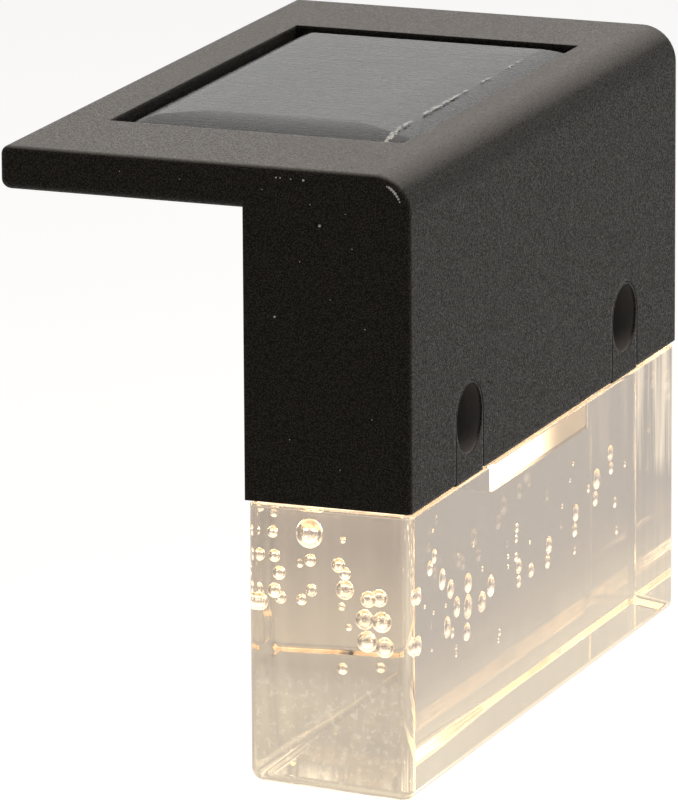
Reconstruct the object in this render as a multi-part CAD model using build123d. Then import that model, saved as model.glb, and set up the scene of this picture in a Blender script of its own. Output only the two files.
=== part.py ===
"""Solar fence light: a moulded hood that hangs over a fence rail, with a clear block lit from above.

Millimetres. X runs along the fence, +Y into the fence, +Z up. The origin is midway between the two
fence screws, on the face that lies against the fence.
"""

import os
from math import atan2, degrees

from build123d import *

# ---------------------------------------------------------------- hood, the outer shell
hood_width = 126.0
hood_height = 54.2
body_depth = 28.0
ledge_reach = 41.4
ledge_thickness = 7.1
wall = 2.2
crown_radius = 6.0
ledge_top_radius = 1.4
ledge_foot_radius = 1.6
edge_radius = 1.0
notch_corner = 0.8
gate_diameter = 1.6
gate_depth = 0.3
gate_from_front = 15.1
gate_from_top = 8.6

# ---------------------------------------------------------------- clearances
parting_gap = 0.15
plate_gap = 0.15
slide_gap = 0.2
hole_gap = 0.1

# ---------------------------------------------------------------- fence screws and their pockets
tube_gap = 1.0
screw_rise = 9.6
fence_hole = 4.5
pocket_diameter = 11.4
pocket_lip = 0.35
tube_wall = 1.5
pocket_floor = 3.5

# ---------------------------------------------------------------- panel tray and panel
tray_length = 81.1
tray_width = 50.4
tray_depth = 4.5
tray_floor = 1.2
tray_wall = 1.5
tray_shift = 1.0
tray_front_rim = 10.0
panel_margin = 0.3
panel_tape_thickness = 0.4
panel_tape_width = 8.0
panel_board_thickness = 1.0
panel_proud = 0.15
resin_rounding = 5.6
resin_corner = 6.0
cell_count = 4
cell_split = 0.8
cell_border = 3.2
cell_sheet = 0.3
panel_wire_x = -18.0
panel_wire_from_front = 18.0
panel_wire_hole = 5.0

# ---------------------------------------------------------------- chassis
floor_thickness = 2.3
floor_lip = 0.3
rim_height = 2.0
rim_thickness = 1.2
cradle_wall = 2.0
shelf_thickness = 1.5
saddle_thickness = 1.6
stake_diameter = 1.9
stake_head = 3.2

# ---------------------------------------------------------------- covers, seals and screws
cover_thickness = 3.0
cover_top_gap = 0.1
land_width = 1.8
seal_thickness = 1.0
boss_diameter = 6.4
boss_from_end = 7.5
upper_boss_rise = 41.6
lower_boss_rise = 7.6
standoff_length = 2.0
lug_thickness = 2.0
screw_shank = 2.6
screw_length = 12.0
screw_head = 4.6
screw_head_height = 1.7
screw_bite = 0.3
small_shank = 2.0
small_length = 4.0
small_head = 3.8
small_head_height = 1.1
crown_share = 0.45
crown_top_share = 0.65
cross_length_share = 0.55
cross_width_share = 0.14
ledge_screw_from_end = 11.0
ledge_screw_rows = (9.0, 31.0)
ledge_boss_diameter = 5.0
rib_thickness = 1.2
cross_rib_pitch = 18.0
cross_rib_count = 4

# ---------------------------------------------------------------- battery
battery_diameter = 14.5
battery_length = 50.5
battery_button = 1.2
battery_button_diameter = 5.5
sleeve_thickness = 0.15
battery_rise = 26.6
battery_clearance = 0.6
contact_thickness = 0.4
contact_width = 10.0
contact_tab = 3.0
contact_tab_rise = 3.5
leaf_gap = 5.6
door_lip = 1.5
door_rebate = 1.8
door_plate = 1.3
door_boss = 5.6
door_boss_length = 3.5
door_corner = 1.5

# ---------------------------------------------------------------- electronics
board_width = 62.0
board_height = 24.5
board_thickness = 1.6
board_rise = 20.6
board_boss_height = 1.6
board_boss_diameter = 5.0
board_screw_x = 22.0
board_screw_drop = 4.5
wire_diameter = 1.2
wire_bend = 2.6
chip_size = (5.0, 4.0, 1.6)
chip_x = -6.0
chip_leg = 0.2
chip_legs_per_side = 4
inductor_diameter = 7.0
inductor_height = 7.0
inductor_waist = 5.7
inductor_flange = 0.9
inductor_x = 8.0
chip_row_drop = 5.5
small_part_size = (2.0, 1.2, 0.6)
small_part_pitch = 2.6
small_part_count = 3
small_part_x = 15.0
led_wire_x = 4.0
led_board_thickness = 1.2
led_board_depth = 19.0
led_count = 4
led_pitch = 10.0
led_size = (3.5, 2.8, 1.7)
lens_share = 0.7
lens_height = 0.8

# ---------------------------------------------------------------- ON/OFF slide switch
switch_from_end = 13.0
switch_rise = 26.6
switch_travel = 2.0
knob_width = 3.2
knob_height = 3.0
knob_proud = 5.0
shoe_overhang = 0.6
well_width = 8.0
well_height = 10.0
well_depth = 6.5
well_wall = 1.5
can_height = 8.8
can_width = 6.4
can_depth = 4.0
can_sheet = 0.4
ear_height = 3.4
base_thickness = 1.0
pin_pitch = 2.5
pin_length = 3.0
pin_size = 0.8

# ---------------------------------------------------------------- clear block and its light
block_height = 45.9
block_front_drop = 1.1
block_inset = 0.1
block_edge_radius = 2.2
block_top_bevel = 0.6
bond_thickness = 0.2
bond_inset = 3.4
pocket_length = 46.2
pocket_width = 16.2
block_pocket_depth = 4.9
block_pocket_corner = 2.0
diffuser_wall = 1.0
diffuser_gap = 0.3
window_margin = 2.6

# ---------------------------------------------------------------- places worked out from the sizes
half_width = hood_width / 2
front = -body_depth
hood_bottom = -screw_rise
hood_top = hood_bottom + hood_height
soffit = hood_top - ledge_thickness
inner_end = half_width - wall
inner_front = front + wall
inner_top = hood_top - wall
ledge_inner_end = ledge_reach - wall
gate_y = front + gate_from_front
gate_z = hood_top - gate_from_top

tray_y = (front + tray_front_rim, front + tray_front_rim + tray_width)
tray_x = (tray_shift - tray_length / 2, tray_shift + tray_length / 2)
tray_seat = hood_top - tray_depth
tray_underside = tray_seat - tray_floor
panel_wire_y = front + panel_wire_from_front
ledge_plate = tray_underside - cover_top_gap - soffit
sink_depth = ledge_plate - hole_gap
ledge_screw_x = half_width - ledge_screw_from_end

cover_inside = -cover_thickness
land_face = cover_inside - seal_thickness
standoff_end = cover_inside - standoff_length
boss_x = half_width - boss_from_end
upper_boss_z = hood_bottom + upper_boss_rise
lower_boss_z = hood_bottom + lower_boss_rise

floor_bottom = hood_bottom - floor_lip
floor_top = floor_bottom + floor_thickness
tongue_radius = pocket_diameter / 2 + pocket_lip
tube_radius = pocket_diameter / 2 + tube_wall
pocket_seat = cover_inside - pocket_floor

battery_z = hood_bottom + battery_rise
battery_radius = battery_diameter / 2
battery_y = cover_inside - battery_clearance - battery_radius
contact_face = (battery_length + leaf_gap) / 2
cradle_inner = contact_face + contact_thickness
cradle_outer = cradle_inner + cradle_wall
screw_x = cradle_inner + tube_gap + tube_radius
screw_xs = (-screw_x, screw_x)
door_screw_x = cradle_outer + 2 * slide_gap + door_boss / 2
cradle_front = battery_y - battery_radius - door_lip
cradle_rear = cover_inside - battery_clearance
shelf_top = tube_radius + shelf_thickness
cradle_top = battery_z + battery_radius + door_lip

board_front = inner_front + board_boss_height
board_back = board_front + board_thickness
board_z = (hood_bottom + board_rise, hood_bottom + board_rise + board_height)
board_screw_z = board_z[1] - board_screw_drop
chip_row_z = board_z[1] - chip_row_drop
wire_in_board = board_front + board_thickness / 2

block_top = floor_bottom - bond_thickness
block_bottom = block_top - block_height
block_length = hood_width - 2 * block_inset
block_depth = body_depth - 2 * block_inset
block_y = front / 2
window_length = pocket_length - 2 * window_margin
window_width = pocket_width - 2 * window_margin
stake_x = window_length / 2 + stake_head

switch_z = hood_bottom + switch_rise
switch_x = switch_from_end - half_width
well_floor_back = -well_depth - well_wall
can_front = well_floor_back
can_back = can_front - can_depth
ear_pitch = can_height + ear_height
knob_rest = switch_z + switch_travel / 2
knob_z = (knob_rest - knob_height / 2, knob_rest + knob_height / 2)

OVER = 1.0  # how far a cutting shape runs past the face it opens
NEAR = 0.1  # an edge nearer than this to a face counts as lying on it
SIDES = 8  # sides of hidden posts, pilot holes, shanks and leads
HEAD_SIDES = 16  # sides of screw heads


# ---------------------------------------------------------------- helpers
def block_between(x, y, z):
    """A block that fills the given ranges of X, Y and Z."""
    size = [high - low for low, high in (x, y, z)]
    middle = [(high + low) / 2 for low, high in (x, y, z)]
    return Pos(*middle) * Box(*size)


def rounded_block(x, y, z, corner):
    """A block with its four upright edges rounded."""
    plan = RectangleRounded(x[1] - x[0], y[1] - y[0], corner)
    return Pos((x[0] + x[1]) / 2, (y[0] + y[1]) / 2, z[0]) * extrude(plan, z[1] - z[0])


def rod_y(x, z, diameter, y_from, y_to):
    """A round rod along Y."""
    length = y_to - y_from
    return Pos(x, (y_from + y_to) / 2, z) * Rot(90, 0, 0) * Cylinder(diameter / 2, length)


def rod_z(x, y, diameter, z_from, z_to):
    """A round rod along Z."""
    return Pos(x, y, (z_from + z_to) / 2) * Cylinder(diameter / 2, z_to - z_from)


def flat_sided(across, sides, length):
    """A prism up from the origin, its opposite sides the given distance apart."""
    return extrude(RegularPolygon(across / 2, sides, major_radius=False), length)


def post_y(x, z, across, y_from, y_to):
    """A hidden post or pilot hole along Y."""
    return Pos(x, y_to, z) * Rot(90, 0, 0) * flat_sided(across, SIDES, y_to - y_from)


def post_z(x, y, across, z_from, z_to):
    """A hidden post or pilot hole along Z."""
    return Pos(x, y, z_from) * flat_sided(across, SIDES, z_to - z_from)


def sink(low_across, high_across, height):
    """A tapered prism up from the origin, for countersunk heads and their seats."""
    slope = degrees(atan2((low_across - high_across) / 2, height))
    return extrude(RegularPolygon(low_across / 2, HEAD_SIDES, major_radius=False), height, taper=slope)


def plate_xz(x, z, y_from, y_to, corner):
    """A plate facing along Y with rounded corners."""
    outline = RectangleRounded(x[1] - x[0], z[1] - z[0], corner)
    middle = Plane(((x[0] + x[1]) / 2, y_to, (z[0] + z[1]) / 2), x_dir=(1, 0, 0), z_dir=(0, -1, 0))
    return extrude(middle * outline, y_to - y_from)


def arch(x, radius, foot, y_from, y_to):
    """A tongue: a half round head on the screw's axis, with straight sides down to its foot."""
    outline = Circle(radius) + Pos(0, foot / 2) * Rectangle(2 * radius, -foot)
    return extrude(Plane((x, y_to, 0), x_dir=(1, 0, 0), z_dir=(0, -1, 0)) * outline, y_to - y_from)


def screw(shank, length, head, head_height, cross):
    """A pan head screw, head up, its seat at the origin and its shank down."""
    crown = head_height * crown_share
    made = Pos(0, 0, -length) * flat_sided(shank, SIDES, length)
    made += flat_sided(head, HEAD_SIDES, head_height - crown)
    made += Pos(0, 0, head_height - crown) * sink(head, head * crown_top_share, crown)
    if cross:
        made -= Pos(0, 0, head_height) * head_cross(head, head_height / 2)
    return made


def head_cross(head, depth):
    """The cross that a screwdriver fits in, cut both ways from the origin."""
    long, short = head * cross_length_share, head * cross_width_share
    return Box(long, short, 2 * depth) + Box(short, long, 2 * depth)


def wire(points):
    """A lead through the given points, with the same bend at each corner."""
    if len(points) == 2:
        path = Line(*points)
    else:
        path = FilletPolyline(*points, radius=wire_bend)
    section = Plane(path @ 0, z_dir=path % 0) * RegularPolygon(wire_diameter / 2, SIDES)
    return sweep(section, path)


def corners(x, y):
    """The four mirrored places of a point."""
    return [(sx * x, sy) for sx in (-1, 1) for sy in y]


# ---------------------------------------------------------------- hood
def hood_outside():
    """The closed outside form: an L lying over the rail, its long top edge well rounded."""
    with BuildPart() as form:
        with BuildSketch(Plane.YZ):
            with BuildLine():
                Polyline(
                    (front, hood_bottom),
                    (front, hood_top),
                    (ledge_reach, hood_top),
                    (ledge_reach, soffit),
                    (0, soffit),
                    (0, hood_bottom),
                    close=True,
                )
            make_face()
        extrude(amount=half_width, both=True)
        long_edges = form.edges().filter_by(Axis.X)
        fillet(long_edges.sort_by_distance((0, front, hood_top))[0], crown_radius)
        long_edges = form.edges().filter_by(Axis.X)
        fillet(long_edges.sort_by_distance((0, ledge_reach, hood_top))[0], ledge_top_radius)
        end_edges = form.faces().filter_by(Axis.X).edges()
        shown = [e for e in end_edges if e.center().Z > soffit + NEAR or e.center().Y < front + NEAR]
        fillet(shown, edge_radius)
        long_edges = form.edges().filter_by(Axis.X)
        fillet(long_edges.sort_by_distance((0, ledge_reach, soffit))[0], ledge_foot_radius)
    return form.part


def hood_hollow():
    """Everything inside the hood's walls, open below the body, at its back and under the ledge."""
    with BuildPart() as form:
        with BuildSketch(Plane.YZ):
            with BuildLine():
                Polyline(
                    (inner_front, hood_bottom - OVER),
                    (inner_front, inner_top),
                    (ledge_inner_end, inner_top),
                    (ledge_inner_end, soffit - OVER),
                    (OVER, soffit - OVER),
                    (OVER, hood_bottom - OVER),
                    close=True,
                )
            make_face()
        extrude(amount=inner_end, both=True)
        crown = form.edges().filter_by(Axis.X).sort_by_distance((0, inner_front, inner_top))[0]
        fillet(crown, crown_radius - wall)
    return form.part


def seal_land():
    """The frame inside the hood that the back cover's seal presses on."""
    y = (land_face - land_width, land_face)
    frame = block_between((-inner_end, inner_end), y, (floor_top, inner_top))
    opening = block_between(
        (-inner_end + land_width, inner_end - land_width),
        (y[0] - OVER, y[1] + OVER),
        (floor_top - OVER, tray_underside - land_width),
    )
    return frame - opening


def hood():
    """The outer moulding with its tray, ribs, bosses and notches."""
    shell = hood_outside() - hood_hollow()

    # The tray hangs from the top and carries the panel.
    shell += block_between(
        (tray_x[0] - tray_wall, tray_x[1] + tray_wall),
        (tray_y[0] - tray_wall, tray_y[1] + tray_wall),
        (tray_underside, hood_top - wall / 2),
    )
    shell += seal_land()
    shell -= block_between(tray_x, tray_y, (tray_seat, hood_top + OVER))
    shell -= rod_z(panel_wire_x, panel_wire_y, panel_wire_hole, tray_underside - OVER, tray_seat + OVER)

    # Ribs and bosses under the ledge, on each side of the tray and behind it.
    for row in ledge_screw_rows:
        for side in (-1, 1):
            tray_side = tray_shift + side * (tray_length + tray_wall) / 2
            span = sorted((side * (inner_end + wall / 2), tray_side))
            depth = (row - rib_thickness / 2, row + rib_thickness / 2)
            shell += block_between(span, depth, (tray_underside, inner_top + wall / 2))
            x = side * ledge_screw_x
            shell += post_z(x, row, ledge_boss_diameter, tray_underside, inner_top + wall / 2)
            shell -= post_z(x, row, small_shank - screw_bite, tray_underside - OVER, inner_top + screw_bite)
    for index in range(cross_rib_count):
        x = tray_shift + (index - (cross_rib_count - 1) / 2) * cross_rib_pitch
        shell += block_between(
            (x - rib_thickness / 2, x + rib_thickness / 2),
            (tray_y[1] + tray_wall / 2, ledge_inner_end + wall / 2),
            (tray_underside, inner_top + wall / 2),
        )

    # Bosses for the back cover at the corners, each tied to the end wall by a web.
    in_wall = inner_front - wall / 2
    for side in (-1, 1):
        x = side * boss_x
        web_x = sorted((side * (boss_x + boss_diameter / 2 - screw_bite), side * (inner_end + wall / 2)))
        for z, y_to in ((upper_boss_z, standoff_end), (lower_boss_z, standoff_end - lug_thickness)):
            web_z = (z - rib_thickness / 2, z + rib_thickness / 2)
            shell += post_y(x, z, boss_diameter, in_wall, y_to)
            shell += block_between(web_x, (in_wall, y_to), web_z)
            shell -= post_y(x, z, screw_shank - screw_bite, y_to - screw_length, y_to + OVER)

    # Short bosses for the circuit board.
    for x in (-board_screw_x, board_screw_x):
        shell += post_y(x, board_screw_z, board_boss_diameter, in_wall, board_front)
        pilot_end = board_back - small_length - hole_gap
        shell -= post_y(x, board_screw_z, small_shank - screw_bite, pilot_end, board_front + OVER)

    # Notches, open at the bottom, that the chassis's tongues fill. Their feet are rounded.
    notch = tongue_radius + parting_gap
    for x in screw_xs:
        shell -= arch(x, notch, hood_bottom - OVER, front - OVER, inner_front + OVER)
    for x in screw_xs:
        for foot in (x - notch, x + notch):
            edges = shell.edges().filter_by(Axis.Y)
            corner = edges.sort_by_distance((foot, front + wall / 2, hood_bottom))[0]
            shell = fillet(corner, notch_corner)

    # Gate mark left by the mould on the end wall.
    shell -= Pos(-half_width, gate_y, gate_z) * Rot(0, 90, 0) * Cylinder(gate_diameter / 2, gate_depth * 2)
    return shell


def ledge_cover():
    """The plate that closes the underside of the ledge, flush with the hood's edges."""
    plate = block_between(
        (-inner_end + plate_gap, inner_end - plate_gap),
        (plate_gap, ledge_inner_end - plate_gap),
        (soffit, tray_underside - cover_top_gap),
    )
    for x, y in corners(ledge_screw_x, ledge_screw_rows):
        plate -= post_z(x, y, small_shank + 2 * hole_gap, soffit - OVER, tray_underside)
        seat = sink(small_head + 2 * hole_gap, small_shank + 2 * hole_gap, sink_depth)
        plate -= Pos(x, y, soffit) * seat
    return plate


def ledge_cover_screws():
    """Countersunk screws, flush with the ledge's underside."""
    shank = small_shank - screw_bite
    body = sink(small_head, shank, sink_depth) + flat_sided(shank, SIDES, inner_top - soffit)
    body -= head_cross(small_head, sink_depth / 2)
    return [Pos(x, y, soffit) * body for x, y in corners(ledge_screw_x, ledge_screw_rows)]


# ---------------------------------------------------------------- solar panel
def panel_tape():
    """Two strips of foam tape along the tray."""
    y_low, y_high = tray_y[0] + panel_margin, tray_y[1] - panel_margin
    height = (tray_seat, tray_seat + panel_tape_thickness)
    length = (tray_x[0] + panel_margin + resin_corner, tray_x[1] - panel_margin - resin_corner)
    return [
        block_between(length, (y_low, y_low + panel_tape_width / 2), height),
        block_between(length, (y_high - panel_tape_width, y_high), height),
    ]


def panel_plan():
    """Ranges of the panel in X and Y."""
    x = (tray_x[0] + panel_margin, tray_x[1] - panel_margin)
    y = (tray_y[0] + panel_margin, tray_y[1] - panel_margin)
    return x, y


def panel_board():
    x, y = panel_plan()
    low = tray_seat + panel_tape_thickness
    return rounded_block(x, y, (low, low + panel_board_thickness), resin_corner)


def panel_cells():
    """Thin silicon cells in a row along the panel, a split between neighbours."""
    x, y = panel_plan()
    low = tray_seat + panel_tape_thickness + panel_board_thickness
    pitch = (x[1] - x[0] - 2 * cell_border + cell_split) / cell_count
    made = []
    for index in range(cell_count):
        start = x[0] + cell_border + index * pitch
        made.append(
            block_between(
                (start, start + pitch - cell_split),
                (y[0] + cell_border, y[1] - cell_border),
                (low, low + cell_sheet),
            )
        )
    return made


def panel_resin():
    """Clear resin poured over the cells: its skin stops in a round shoulder all the way round."""
    x, y = panel_plan()
    low = tray_seat + panel_tape_thickness + panel_board_thickness
    high = hood_top + panel_proud
    drop = high - low
    run = (resin_rounding**2 - (resin_rounding - drop) ** 2) ** 0.5
    spread = resin_rounding - run
    with BuildPart() as form:
        with BuildSketch(Plane.XY.offset(low - resin_rounding)):
            with Locations(((x[0] + x[1]) / 2, (y[0] + y[1]) / 2)):
                RectangleRounded(x[1] - x[0] + 2 * spread, y[1] - y[0] + 2 * spread, resin_corner + spread)
        extrude(amount=resin_rounding + drop)
        fillet(form.faces().sort_by(Axis.Z)[-1].edges(), resin_rounding)
    dome = form.part - block_between(
        (x[0] - OVER * 3, x[1] + OVER * 3),
        (y[0] - OVER * 3, y[1] + OVER * 3),
        (low - resin_rounding - OVER, low),
    )
    for cell in panel_cells():
        dome -= cell
    return dome


def panel_wires():
    """Two leads from the panel board through the tray and forward to the circuit board."""
    start = tray_seat + panel_tape_thickness
    made = []
    for x in (panel_wire_x - wire_diameter, panel_wire_x + wire_diameter):
        level = board_z[1] - wire_diameter * 2
        made.append(wire([(x, panel_wire_y, start), (x, panel_wire_y, level), (x, board_back, level)]))
    return made


# ---------------------------------------------------------------- chassis
def cradle():
    """The battery's shelf with its two end walls and three saddles."""
    y = (cradle_front, cradle_rear)
    made = block_between((-cradle_outer, cradle_outer), y, (shelf_top - shelf_thickness, shelf_top))
    for side in (-1, 1):
        span = sorted((side * cradle_inner, side * cradle_outer))
        made += block_between(span, y, (floor_top - floor_thickness / 2, cradle_top))
    saddles = block_between((0, saddle_thickness), y, (shelf_top, battery_z))
    hollow = Pos(0, battery_y, battery_z) * Rot(0, 90, 0)
    hollow *= Cylinder(battery_radius + hole_gap, battery_length * 2)
    for x in (-battery_length / 3, 0, battery_length / 3):
        made += Pos(x - saddle_thickness / 2, 0, 0) * saddles - hollow
    return made


def chassis():
    floor = block_between(
        (-inner_end + plate_gap, inner_end - plate_gap),
        (inner_front + plate_gap, cover_inside - plate_gap),
        (floor_bottom, floor_top),
    )
    made = floor + cradle()

    # Low rim inside the hood's walls.
    rim_y = (inner_front + plate_gap, land_face - land_width - boss_diameter)
    rim_z = (floor_top - floor_thickness / 2, floor_top + rim_height)
    made += block_between(
        (-inner_end + plate_gap, inner_end - plate_gap), (rim_y[0], rim_y[0] + rim_thickness), rim_z
    )
    for side in (-1, 1):
        span = sorted((side * (inner_end - plate_gap), side * (inner_end - plate_gap - rim_thickness)))
        made += block_between(span, rim_y, rim_z)

    # Room for the screw tubes, which stand on the floor with their tongues let into its front edge.
    for x in screw_xs:
        made -= arch(x, tube_radius + hole_gap, floor_top, inner_front, cover_inside)
        slot_x = (x - tongue_radius - hole_gap, x + tongue_radius + hole_gap)
        slot_y = (inner_front, inner_front + wall + hole_gap)
        made -= block_between(slot_x, slot_y, (floor_bottom - OVER, floor_top + OVER))

    # Lugs that the lower back cover screws clamp against the hood's bosses.
    for x in (-boss_x, boss_x):
        lug_y = (standoff_end - lug_thickness + hole_gap / 2, standoff_end - hole_gap / 2)
        made += block_between(
            (x - boss_diameter / 2, x + boss_diameter / 2),
            lug_y,
            (floor_top - floor_thickness / 2, lower_boss_z + boss_diameter / 2),
        )
        made -= post_y(x, lower_boss_z, screw_shank + 2 * hole_gap, lug_y[0] - OVER, lug_y[1] + OVER)

    # Window for the light, and two stakes that hold the LED board.
    made -= block_between(
        (-window_length / 2, window_length / 2),
        (block_y - window_width / 2, block_y + window_width / 2),
        (floor_bottom - OVER, floor_top + OVER),
    )
    for x in (-stake_x, stake_x):
        head = floor_top + led_board_thickness
        made += post_z(x, block_y, stake_diameter, floor_top - OVER, head + stake_diameter / 3)
        made += post_z(x, block_y, stake_head, head, head + stake_diameter / 3)
    return made


def screw_tubes():
    """A tube round each fence screw, with a tongue that fills the hood's notch and a deep pocket."""
    made = []
    for x in screw_xs:
        tube = arch(x, tube_radius, floor_top, inner_front + plate_gap, cover_inside)
        tube += arch(x, tongue_radius, floor_bottom, front, inner_front + wall)
        tube -= rod_y(x, 0, pocket_diameter, front - OVER, pocket_seat)
        tube -= rod_y(x, 0, fence_hole, front - OVER, OVER)
        made.append(tube)
    return made


# ---------------------------------------------------------------- back cover, door and their seals
def frame_xz(x, z, width, y_from, y_to, corner):
    """A flat ring facing along Y, its outside given by the ranges."""
    outside = plate_xz(x, z, y_from, y_to, corner)
    hole_x = (x[0] + width, x[1] - width)
    hole_z = (z[0] + width, z[1] - width)
    return outside - plate_xz(hole_x, hole_z, y_from - OVER, y_to + OVER, max(corner - width, 0.2))


def cover_range():
    """Ranges of the back cover in X and Z."""
    x = (-inner_end + plate_gap, inner_end - plate_gap)
    return x, (hood_bottom, tray_underside - cover_top_gap)


def door_opening():
    """Ranges of the hole in the back cover that the battery goes through."""
    x = (-contact_face - hole_gap, contact_face + hole_gap)
    return x, (battery_z - battery_radius - hole_gap, battery_z + battery_radius + hole_gap)


def door_range(gap):
    """Ranges of the battery door, or of its rebate when the gap is 0."""
    z = door_opening()[1]
    reach = door_screw_x + door_boss / 2 - gap
    return (-reach, reach), (z[0] - door_lip + gap, z[1] + door_lip - gap)


def back_cover():
    x, z = cover_range()
    made = block_between(x, (cover_inside, 0), z)

    # The strip above the ledge's underside is set back, clear of the ledge's cover.
    made -= block_between((x[0] - OVER, x[1] + OVER), (-plate_gap, OVER), (soffit - plate_gap, z[1] + OVER))

    for bx in (-boss_x, boss_x):
        for bz in (upper_boss_z, lower_boss_z):
            made += post_y(bx, bz, boss_diameter, standoff_end, cover_inside)
            made -= post_y(bx, bz, screw_shank + 2 * hole_gap, standoff_end - OVER, OVER)
            made -= rod_y(bx, bz, screw_head + 4 * hole_gap, -screw_head_height - hole_gap, OVER)
    for sx in screw_xs:
        made -= rod_y(sx, 0, fence_hole, cover_inside - OVER, OVER)

    # Battery opening with its rebate, and bosses for the door's screws.
    rebate_x, rebate_z = door_range(0)
    for dx in (-door_screw_x, door_screw_x):
        made += post_y(dx, battery_z, door_boss, cover_inside - door_boss_length, cover_inside)
    made -= plate_xz(rebate_x, rebate_z, -door_rebate, OVER, door_corner)
    hole_x, hole_z = door_opening()
    made -= block_between(hole_x, (cover_inside - OVER, OVER), hole_z)
    for dx in (-door_screw_x, door_screw_x):
        pilot_end = -small_head_height - small_length
        made -= post_y(dx, battery_z, small_shank - screw_bite, pilot_end, OVER)

    # Well for the switch, deep enough that its knob never meets the fence.
    well_x = (switch_x - well_width / 2, switch_x + well_width / 2)
    well_z = (switch_z - well_height / 2, switch_z + well_height / 2)
    made += block_between(
        (well_x[0] - well_wall, well_x[1] + well_wall),
        (well_floor_back, cover_inside),
        (well_z[0] - well_wall, well_z[1] + well_wall),
    )
    for sz in (switch_z - ear_pitch / 2, switch_z + ear_pitch / 2):
        made += post_y(switch_x, sz, board_boss_diameter, well_floor_back, cover_inside)
    made -= plate_xz(well_x, well_z, -well_depth, OVER, door_corner)
    for sz in (switch_z - ear_pitch / 2, switch_z + ear_pitch / 2):
        pilot_end = well_floor_back + small_length
        made -= post_y(switch_x, sz, small_shank - screw_bite, well_floor_back - OVER, pilot_end)
    slot_x = (switch_x - knob_width / 2 - slide_gap, switch_x + knob_width / 2 + slide_gap)
    slot_z = (knob_z[0] - switch_travel - slide_gap, knob_z[1] + slide_gap)
    made -= block_between(slot_x, (well_floor_back - OVER, -well_depth + OVER), slot_z)
    return made


def back_cover_seal():
    """A strip over the top and down both sides, between the cover and the land inside the hood."""
    x = (-inner_end + plate_gap, inner_end - plate_gap)
    z = (floor_top + plate_gap, tray_underside - plate_gap)
    sheet = block_between(x, (land_face, cover_inside), z)
    width = land_width - plate_gap
    opening = block_between(
        (x[0] + width, x[1] - width), (land_face - OVER, cover_inside + OVER), (z[0] - OVER, z[1] - width)
    )
    return sheet - opening


def back_cover_screws():
    made = []
    for x in (-boss_x, boss_x):
        for z in (upper_boss_z, lower_boss_z):
            body = screw(screw_shank - screw_bite, screw_length, screw_head, screw_head_height, cross=True)
            made.append(Pos(x, -screw_head_height - hole_gap, z) * Rot(-90, 0, 0) * body)
    return made


def battery_door():
    """The lid over the battery, sunk flush in the back cover."""
    x, z = door_range(plate_gap)
    made = plate_xz(x, z, -door_plate, 0, door_corner)
    for dx in (-door_screw_x, door_screw_x):
        made -= post_y(dx, battery_z, small_shank + 2 * hole_gap, -door_plate - OVER, OVER)
        made -= rod_y(dx, battery_z, small_head + 2 * hole_gap, -small_head_height, OVER)
    return made


def battery_door_seal():
    """A thin ring on the rebate, round the battery opening."""
    x, z = door_opening()
    width = door_lip - plate_gap
    ring_x = (x[0] - width, x[1] + width)
    ring_z = (z[0] - width, z[1] + width)
    return frame_xz(ring_x, ring_z, width, -door_rebate, -door_plate, door_corner)


def battery_door_screws():
    made = []
    for x in (-door_screw_x, door_screw_x):
        body = screw(small_shank - screw_bite, small_length, small_head, small_head_height, cross=True)
        made.append(Pos(x, -small_head_height, battery_z) * Rot(-90, 0, 0) * body)
    return made


# ---------------------------------------------------------------- battery and contacts
def battery_axis(x):
    """Placement on the battery's axis, with local Z along +X."""
    return Pos(x, battery_y, battery_z) * Rot(0, 90, 0)


def battery_cell():
    can_radius = battery_radius - sleeve_thickness
    can_length = battery_length - battery_button
    can = Cylinder(can_radius, can_length)
    button = Pos(0, 0, can_length / 2) * Cylinder(battery_button_diameter / 2, battery_button * 2)
    return battery_axis(contact_face - battery_button - can_length / 2) * (can + button)


def battery_sleeve():
    can_length = battery_length - battery_button
    length = can_length - sleeve_thickness * 4
    tube = Cylinder(battery_radius, length) - Cylinder(battery_radius - sleeve_thickness, length * 2)
    return battery_axis(contact_face - battery_button - can_length / 2) * tube


def contact_plate(x_from, x_to):
    """Flat spring strip against the cradle's end wall, with a solder tab above."""
    width = (battery_y - contact_width / 2, battery_y + contact_width / 2)
    tab = (battery_y - contact_tab / 2, battery_y + contact_tab / 2)
    plate = block_between((x_from, x_to), width, (shelf_top, cradle_top - door_lip))
    return plate + block_between((x_from, x_to), tab, (shelf_top, cradle_top + contact_tab_rise))


def positive_contact():
    return contact_plate(contact_face, contact_face + contact_thickness)


def negative_contact():
    """The strip carries a leaf, folded forward, that presses on the flat end of the cell."""
    face = -contact_face
    made = contact_plate(face - contact_thickness, face)
    foot = shelf_top + contact_thickness * 3
    tip = battery_z + battery_radius / 2
    reach = face + leaf_gap - contact_thickness / 2
    with BuildPart() as leaf:
        with BuildSketch(Plane.XZ.offset(-battery_y - contact_width / 4)):
            with BuildLine():
                FilletPolyline(
                    (face, foot),
                    (reach, battery_z - battery_radius / 3),
                    (reach, battery_z + battery_radius / 3),
                    (face + leaf_gap / 3, tip),
                    radius=contact_thickness * 2,
                )
            trace(line_width=contact_thickness)
        extrude(amount=contact_width / 2)
    return made + leaf.part


def contact_wires():
    """A lead from each contact's tab forward to the circuit board."""
    top = cradle_top + contact_tab_rise
    made = []
    for side in (-1, 1):
        x = side * (contact_face + contact_thickness / 2)
        level = top + wire_bend + wire_diameter
        made.append(wire([(x, battery_y, top), (x, battery_y, level), (x, board_back, level)]))
    return made


# ---------------------------------------------------------------- circuit board
def circuit_board():
    made = block_between((-board_width / 2, board_width / 2), (board_front, board_back), board_z)
    for x in (-board_screw_x, board_screw_x):
        made -= post_y(x, board_screw_z, small_shank + 2 * hole_gap, board_front - OVER, board_back + OVER)
    return made


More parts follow.
